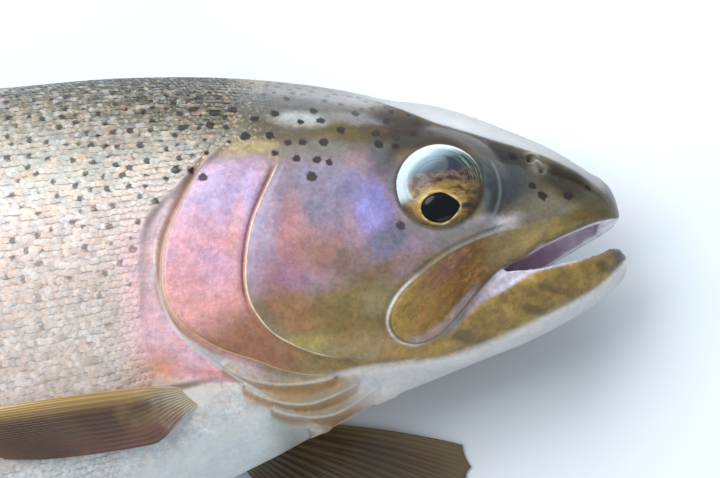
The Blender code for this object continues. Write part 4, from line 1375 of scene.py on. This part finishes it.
def eye_globe(name, side):
    """A flattened ball with a raised lens, which keeps its directions beside, above and along the sight."""
    bm = bmesh.new()
    bmesh.ops.create_uvsphere(bm, u_segments=128, v_segments=96, radius=1.0)
    bmesh.ops.rotate(bm, matrix=Matrix.Rotation(GAZE_DOWN, 3, "X"), verts=bm.verts)
    directions = np.array([vert.co[:] for vert in bm.verts])
    gaze = np.array([0.04, -math.sin(GAZE_DOWN), math.cos(GAZE_DOWN)])
    gaze /= np.linalg.norm(gaze)
    beside = np.cross(np.array([0, gaze[2], -gaze[1]]), gaze)
    beside /= np.linalg.norm(beside)
    p, q, toward = directions @ beside, directions @ np.cross(gaze, beside), directions @ gaze
    egg = np.hypot(p / EGG[0], q / (EGG[1] * (1 - EGG_TAPER * ramp(-p, 0.0, EGG_POINT))))
    lens = 0.10 * ramp(egg, 1.0, 0.55) + 0.07 * hump(egg - 1.12, 0.20)
    lens = lens * (toward > 0)
    globe = directions * (np.array(EYE_RADII) + lens[:, None])
    made = new_object(name, bm)
    put(made.data, lay((globe + EYE) * (1, 1, side)))
    face_out(made.data)
    store(made.data, "sight", np.column_stack([p, q, toward]))
    store(made.data, "fish", globe)
    made.data.shade_smooth()
    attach(made, "root")
    return made


eyes = [eye_globe("eye_globe_right", 1), eye_globe("eye_globe_left", -1)]
for made, node in zip(eyes, ("eye_right", "eye_left")):
    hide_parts(node)
print("eye globes:", [len(made.data.polygons) for made in eyes])

# %% The eye's rings
eye_look = Look("trout_eye", Coat_Roughness=0.02, Coat_IOR=1.36, IOR=1.25)
sight = eye_look.attribute("sight", "Vector")
p, q, _ = eye_look.split(sight)
place = eye_look.attribute("fish", "Vector")
x, y, _ = eye_look.split(place)
narrow = 1.0 - (0.0 - p).rise(0.0, EGG_POINT) * EGG_TAPER
first, second = p / EGG[0], q / (narrow * EGG[1])
egg = (first * first + second * second).root()      # 1 on the rim of the pupil, whose point is at negative p
away = (x * x + y * y).root()
streaks = eye_look.noise(eye_look.stretch(place, (1.2, 0.7, 1.0)), 0.9, 5.0, 0.65)
rings = eye_look.node("ShaderNodeCombineXYZ", None, {0: away * 1.6, 1: x * 0.12, 2: y * 0.12})
arcs = eye_look.noise(rings, 1.0, 4.0, 0.6)
front = x * -1.0
brown = eye_look.mix(streaks.rise(0.4, 0.6), (56, 44, 42), (104, 84, 92))
iris = eye_look.coats((86, 60, 36), (streaks.rise(0.36, 0.62), (158, 130, 82)),
                      (egg.rise(1.50, 1.08) * 0.75, (186, 152, 88)),
                      ((y + (streaks - 0.5) * 1.6).rise(-0.9, 0.5) * 0.85, brown),
                      (eye_look.patch(place, (-0.9, -0.5), (2.0, 0.5), -6, 0.7) * 0.6, (142, 124, 54)),
                      (away.rise(5.4, 6.9) * 0.7, (66, 48, 38)),
                      (front.rise(3.4, 5.2) * (arcs * 0.6 + 0.4) * 0.7, (70, 56, 46)))
# painted reflection of the sky: the slate of the upper globe pales upwards into a crescent that is partly
# silver and partly painted reflection
sky_reflection = (y + x * 0.10 + (arcs - 0.5) * 1.4).rise(1.2, 2.3)
slate = eye_look.mix((y + x * 0.5 + (arcs - 0.5) * 3.0).rise(2.2, 5.6), (44, 58, 70), (140, 165, 180))
side = (y * 0.35 + x * 0.94 + (arcs - 0.5) * 1.0).rise(0.5, 4.4)
silver_and_reflection = (away + side * 1.1 + (arcs - 0.5) * 1.5).rise(5.4, 7.0)
silver_and_reflection = silver_and_reflection * (y * 0.5 + x).rise(-3.0, 2.6) * y.rise(-3.0, -1.0)
green = (arcs - 0.5).line(0.06) * away.rise(4.2, 5.6) * front.rise(1.5, 4.0) * y.rise(-1.5, 1.0)
ring = eye_look.mix(streaks.rise(0.40, 0.60), (168, 132, 66), (226, 202, 146))
colour = eye_look.coats(iris, (sky_reflection, slate), (silver_and_reflection * 0.95, (206, 224, 228)),
                        (green * 0.7, (136, 156, 128)), (away.rise(6.8, 7.1) * 0.7, (66, 68, 60)),
                        (eye_look.patch(sight, (-0.47, -0.03), (0.13, 0.06), 0, 0.6) * 0.9, (30, 40, 58)),
                        ((egg - 1.07).line(0.12) * p.rise(-0.42, -0.33), ring),
                        (egg.rise(1.03, 0.97), (4, 8, 14)))
eye_look.finish(colour, 0.20, None, 0.6)
for made in eyes:
    made.data.materials.append(eye_look.material)
print("eye nodes:", len(eye_look.tree.nodes))

# %% [markdown]
# ## Fins
#
# A fin is a thin web of skin stretched over rays that fork towards its edge.  Each one is a grid bent
# over a formula for its middle surface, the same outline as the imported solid, then given a thickness
# that swells over every ray and at the fleshy root.  The edge dips a little between the ray tips.

# %% The fins' middle surfaces
def unit_fan(root_front, root_back, turn_front, turn_back, length, sag):
    """A fin in the middle plane. Turns are degrees up from straight back; sag is its droop."""
    def point(u, v):
        turn = np.radians(turn_front + (turn_back - turn_front) * u)
        out = length(u) * v
        a = root_front[0] + (root_back[0] - root_front[0]) * u + out * np.cos(turn)
        b = root_front[1] + (root_back[1] - root_front[1]) * u + out * np.sin(turn)
        return np.column_stack([a, b, -sag * (out / length(0.2)) ** 2])
    return point


def fin_length(longest, taper, cut, rate):
    """Lengths of the rays from the first, u = 0, to the last, u = 1; the first few are cut shorter."""
    return lambda u: (longest - taper * u) * (1 - cut * np.exp(-rate * u))


dorsal_length, anal_length = fin_length(36.0, 18.0, 0.30, 14), fin_length(29.0, 16.0, 0.30, 14)
pectoral_length, pelvic_length = fin_length(47.0, 15.0, 0.10, 12), fin_length(30.0, 8.0, 0.12, 12)


def tail_length(u):
    out = np.abs(2 * u - 1)
    return (32.5 + 23.0 * out ** 1.6) * (1 - 0.10 * out ** 20)


def adipose_length(u):
    return 11.0 * np.sin(math.pi * (0.12 + 0.76 * u)) ** 0.6


def folded_pectoral(u, v):
    """The right pectoral fin, closed back against the flank."""
    out = pectoral_length(u) * v
    turn = np.radians(-1.0 - 14.0 * u + 10.0 * v * u)
    wide = 1.8 + 5.0 * ramp(v, 0.0, 0.30) - 1.6 * v
    a = 70.6 - 1.2 * u + out * np.cos(turn)
    b = -24.6 - wide * u + out * np.sin(turn)
    lift = 1.3 + 1.6 * np.sin(math.pi * np.minimum(v * 1.2, 1.0)) - 3.6 * (1 - np.minimum(v * 6, 1.0))
    return np.column_stack([a, b, half_width(a, b) + lift])


def splayed_pectoral(u, v):
    """The left pectoral fin, swung forward and out on the floor below the throat."""
    out = pectoral_length(u) * v
    turn = np.radians(183.5 + 44.0 * u + 12.0 * v * u + 8.5 * v)
    a = 71.4 - 0.8 * u + out * np.cos(turn)
    b = -24.8 - 4.8 * u + out * np.sin(turn)
    root = -half_width([71.4], [-24.8])[0] + 1.6
    floor = 0.6 - follow(REST, a)[:, 0]
    down = np.minimum(v * 3.2, 1.0)
    return np.column_stack([a, b, root + (floor - root) * down * down * (3 - 2 * down)])


def pelvic(side):
    """A pelvic fin folded back: the right one along the belly, the left one down to the floor."""
    def point(u, v):
        out = pelvic_length(u) * v
        turn = np.radians(-6.0 - 16.0 * u) if side > 0 else np.radians(-14.0 - 22.0 * u)
        a = 184.0 + 3.0 * u + out * np.cos(turn)
        b = -42.6 - 1.6 * u + out * np.sin(turn) * (0.6 if side > 0 else 0.9)
        root = half_width([186.0], [-43.0])[0] * side
        if side > 0:
            return np.column_stack([a, b, root - 1.2 + 3.4 * v])
        floor = 1.4 - follow(REST, a)[:, 0]
        return np.column_stack([a, b, root + 1.2 + (floor - root - 1.2) * v ** 0.8])
    return point


# %% From a surface to a fin with rays
FORKS = ((1, -1.0, 0.50), (2, 0.42, 0.80), (4, 0.72, 2.0))     # strands of a ray, and where they run


def ray_height(u, v, rays):
    """1 on a ray and 0 between; each ray forks into two and then four."""
    made = np.zeros(len(u))
    for fork, start, end in FORKS:
        share = ramp(v, start, start + 0.10) * ramp(v, end + 0.10, end)
        made += share * np.abs(np.cos(math.pi * rays * fork * u)) ** 3
    return np.clip(made, 0, 1)


def make_fin(name, node, point, rays, thick=1.0, ragged=0.02, ribbed=0.42):
    """A closed fin whose thickness follows its rays."""
    bm = bmesh.new()
    bmesh.ops.create_grid(bm, x_segments=rays * 10, y_segments=56, size=0.5)
    grid = np.array([vert.co[:] for vert in bm.verts])
    u, v = grid[:, 0] + 0.5, grid[:, 1] + 0.5
    notch = 1 - ragged * np.abs(np.sin(math.pi * rays * u)) ** 0.7 * ramp(v, 0.7, 1.0)
    middle = point(u, v * notch)
    made = new_object(name, bm)
    put(made.data, middle)
    group = made.vertex_groups.new(name="thickness")
    swell = (0.34 + ribbed * ray_height(u, v, rays) * (1 - 0.55 * v)) * (1 - 0.45 * v)
    swell = np.clip(swell + 0.9 * ramp(v, 0.22, 0.0), 0, 1) * ramp(v, 1.02, 0.94).clip(0.25, 1)
    for index, value in enumerate(swell.tolist()):
        group.add([index], value, "REPLACE")
    store(made.data, "web", np.column_stack([u, v, u * rays if ribbed else u * 0]))
    store(made.data, "fish", middle)
    solidify = made.modifiers.new("thickness", "SOLIDIFY")
    solidify.thickness, solidify.offset, solidify.vertex_group = thick, 0.0, "thickness"
    apply_modifiers(made)
    put(made.data, lay(places(made.data)))
    face_out(made.data)
    made.data.shade_smooth()
    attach(made, "root")
    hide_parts(node)
    return made


fins = {
    "dorsal": make_fin("dorsal_rays", "dorsal_fin",
                       unit_fan((163, 30.0), (207, 26.0), 52, 30, dorsal_length, 5.0), 13),
    "anal": make_fin("anal_rays", "anal_fin",
                     unit_fan((252, -26.0), (284, -18.6), -58, -34, anal_length, 3.0), 11),
    "tail": make_fin("tail_rays", "tail_fin",
                     unit_fan((322, 14.6), (322, -18.6), 26, -26, tail_length, 0.0), 19, thick=1.3),
    "adipose": make_fin("adipose_lobe", "adipose_fin",
                        unit_fan((285, 14.4), (292, 13.4), 46, 24, adipose_length, 1.0),
                        5, thick=2.0, ragged=0.0, ribbed=0.0),
    "pectoral_right": make_fin("pectoral_rays_right", "pectoral_fin_right", folded_pectoral, 13, ribbed=0.14),
    "pectoral_left": make_fin("pectoral_rays_left", "pectoral_fin_left", splayed_pectoral, 13, ribbed=0.14),
    "pelvic_right": make_fin("pelvic_rays_right", "pelvic_fin_right", pelvic(1), 9),
    "pelvic_left": make_fin("pelvic_rays_left", "pelvic_fin_left", pelvic(-1), 9),
}
print("fins:", {name: len(made.data.polygons) for name, made in fins.items()})

# %% Fin materials
def strands(v, count):
    """1 along a ray or one of its forks, 0 on the web between, from the count of rays passed."""
    made = 0.0
    for fork, start, end in FORKS:
        turn = count * (math.pi * fork)
        wave = turn.maths("COSINE", turn)
        strand = wave.maths("ABSOLUTE", wave).rise(0.45, 0.95)
        made = strand * v.rise(start, start + 0.10) * v.rise(end + 0.10, end) + made
    return made


def fin_look(name, web_shade, ray_shade, edge_shade, tip_shade, root_shade, spots=0.0, edge_width=0.12,
             low_shade=None):
    """A clear web with darker rays; its leading edge, tips and root have shades of their own."""
    look = Look(name, Coat_Roughness=0.15, IOR=1.40)
    u, v, count = look.split(look.attribute("web", "Vector"))
    ray = strands(v, count)
    fish = look.attribute("fish", "Vector")
    drift = look.noise(fish, 0.12, 3.0)
    colour = look.coats(web_shade, (ray * (0.45 + drift * 0.5), ray_shade),
                        (u.rise(edge_width, 0.0) * 0.9, edge_shade), (v.rise(0.80, 1.0) * 0.6, tip_shade),
                        (drift.rise(0.5, 0.7) * 0.3, edge_shade))
    if low_shade:
        colour = look.mix(u.rise(0.50, 0.85) * v.rise(0.85, 0.40) * 0.8, colour, low_shade)
    patchy = v + (look.noise(fish, 0.35, 4.0, 0.6) - 0.5) * 0.16
    colour = look.mix(patchy.rise(0.24, 0.06) * 0.8, colour, root_shade)
    if spots:
        cells = look.node("ShaderNodeTexVoronoi", {"voronoi_dimensions": "2D"},
                          {"Vector": fish, "Scale": 0.24, "Randomness": 0.7}, "Distance")
        colour = look.mix(cells.rise(0.30, 0.18) * spots, colour, SPOT_COLOUR)
    return look.finish(colour, 0.30 + drift * 0.1, 0.0, 1.0, look.bump(ray, 0.3, 0.0002))


SHADES = {
    # web, rays, leading edge, tips, root
    "olive_spotted": ((134, 126, 94), (94, 90, 62), (86, 82, 62), (150, 140, 112), (112, 110, 92)),
    "tail": ((142, 130, 104), (98, 90, 66), (88, 80, 60), (90, 80, 62), (192, 174, 162)),
    "pink": ((186, 146, 122), (148, 100, 80), (236, 228, 214), (204, 184, 164), (204, 192, 184)),
    "brown": ((64, 42, 26), (82, 58, 34), (184, 150, 86), (112, 72, 50), (192, 178, 154)),
    "shaded": ((60, 42, 14), (92, 68, 30), (112, 90, 48), (108, 96, 66), (120, 110, 92)),
}
EXTRAS = {"olive_spotted": {"spots": 0.9}, "tail": {"spots": 0.9},
          "brown": {"edge_width": 0.34, "low_shade": (88, 40, 32)}}
looks = {name: fin_look("fin_" + name, *shades, **EXTRAS.get(name, {})) for name, shades in SHADES.items()}
KINDS = {"dorsal": "olive_spotted", "adipose": "olive_spotted", "tail": "tail", "anal": "pink",
         "pelvic_right": "pink", "pelvic_left": "pink", "pectoral_right": "brown", "pectoral_left": "shaded"}
for name, made in fins.items():
    made.data.materials.append(looks[KINDS[name]])
print("fin looks:", ", ".join(looks))
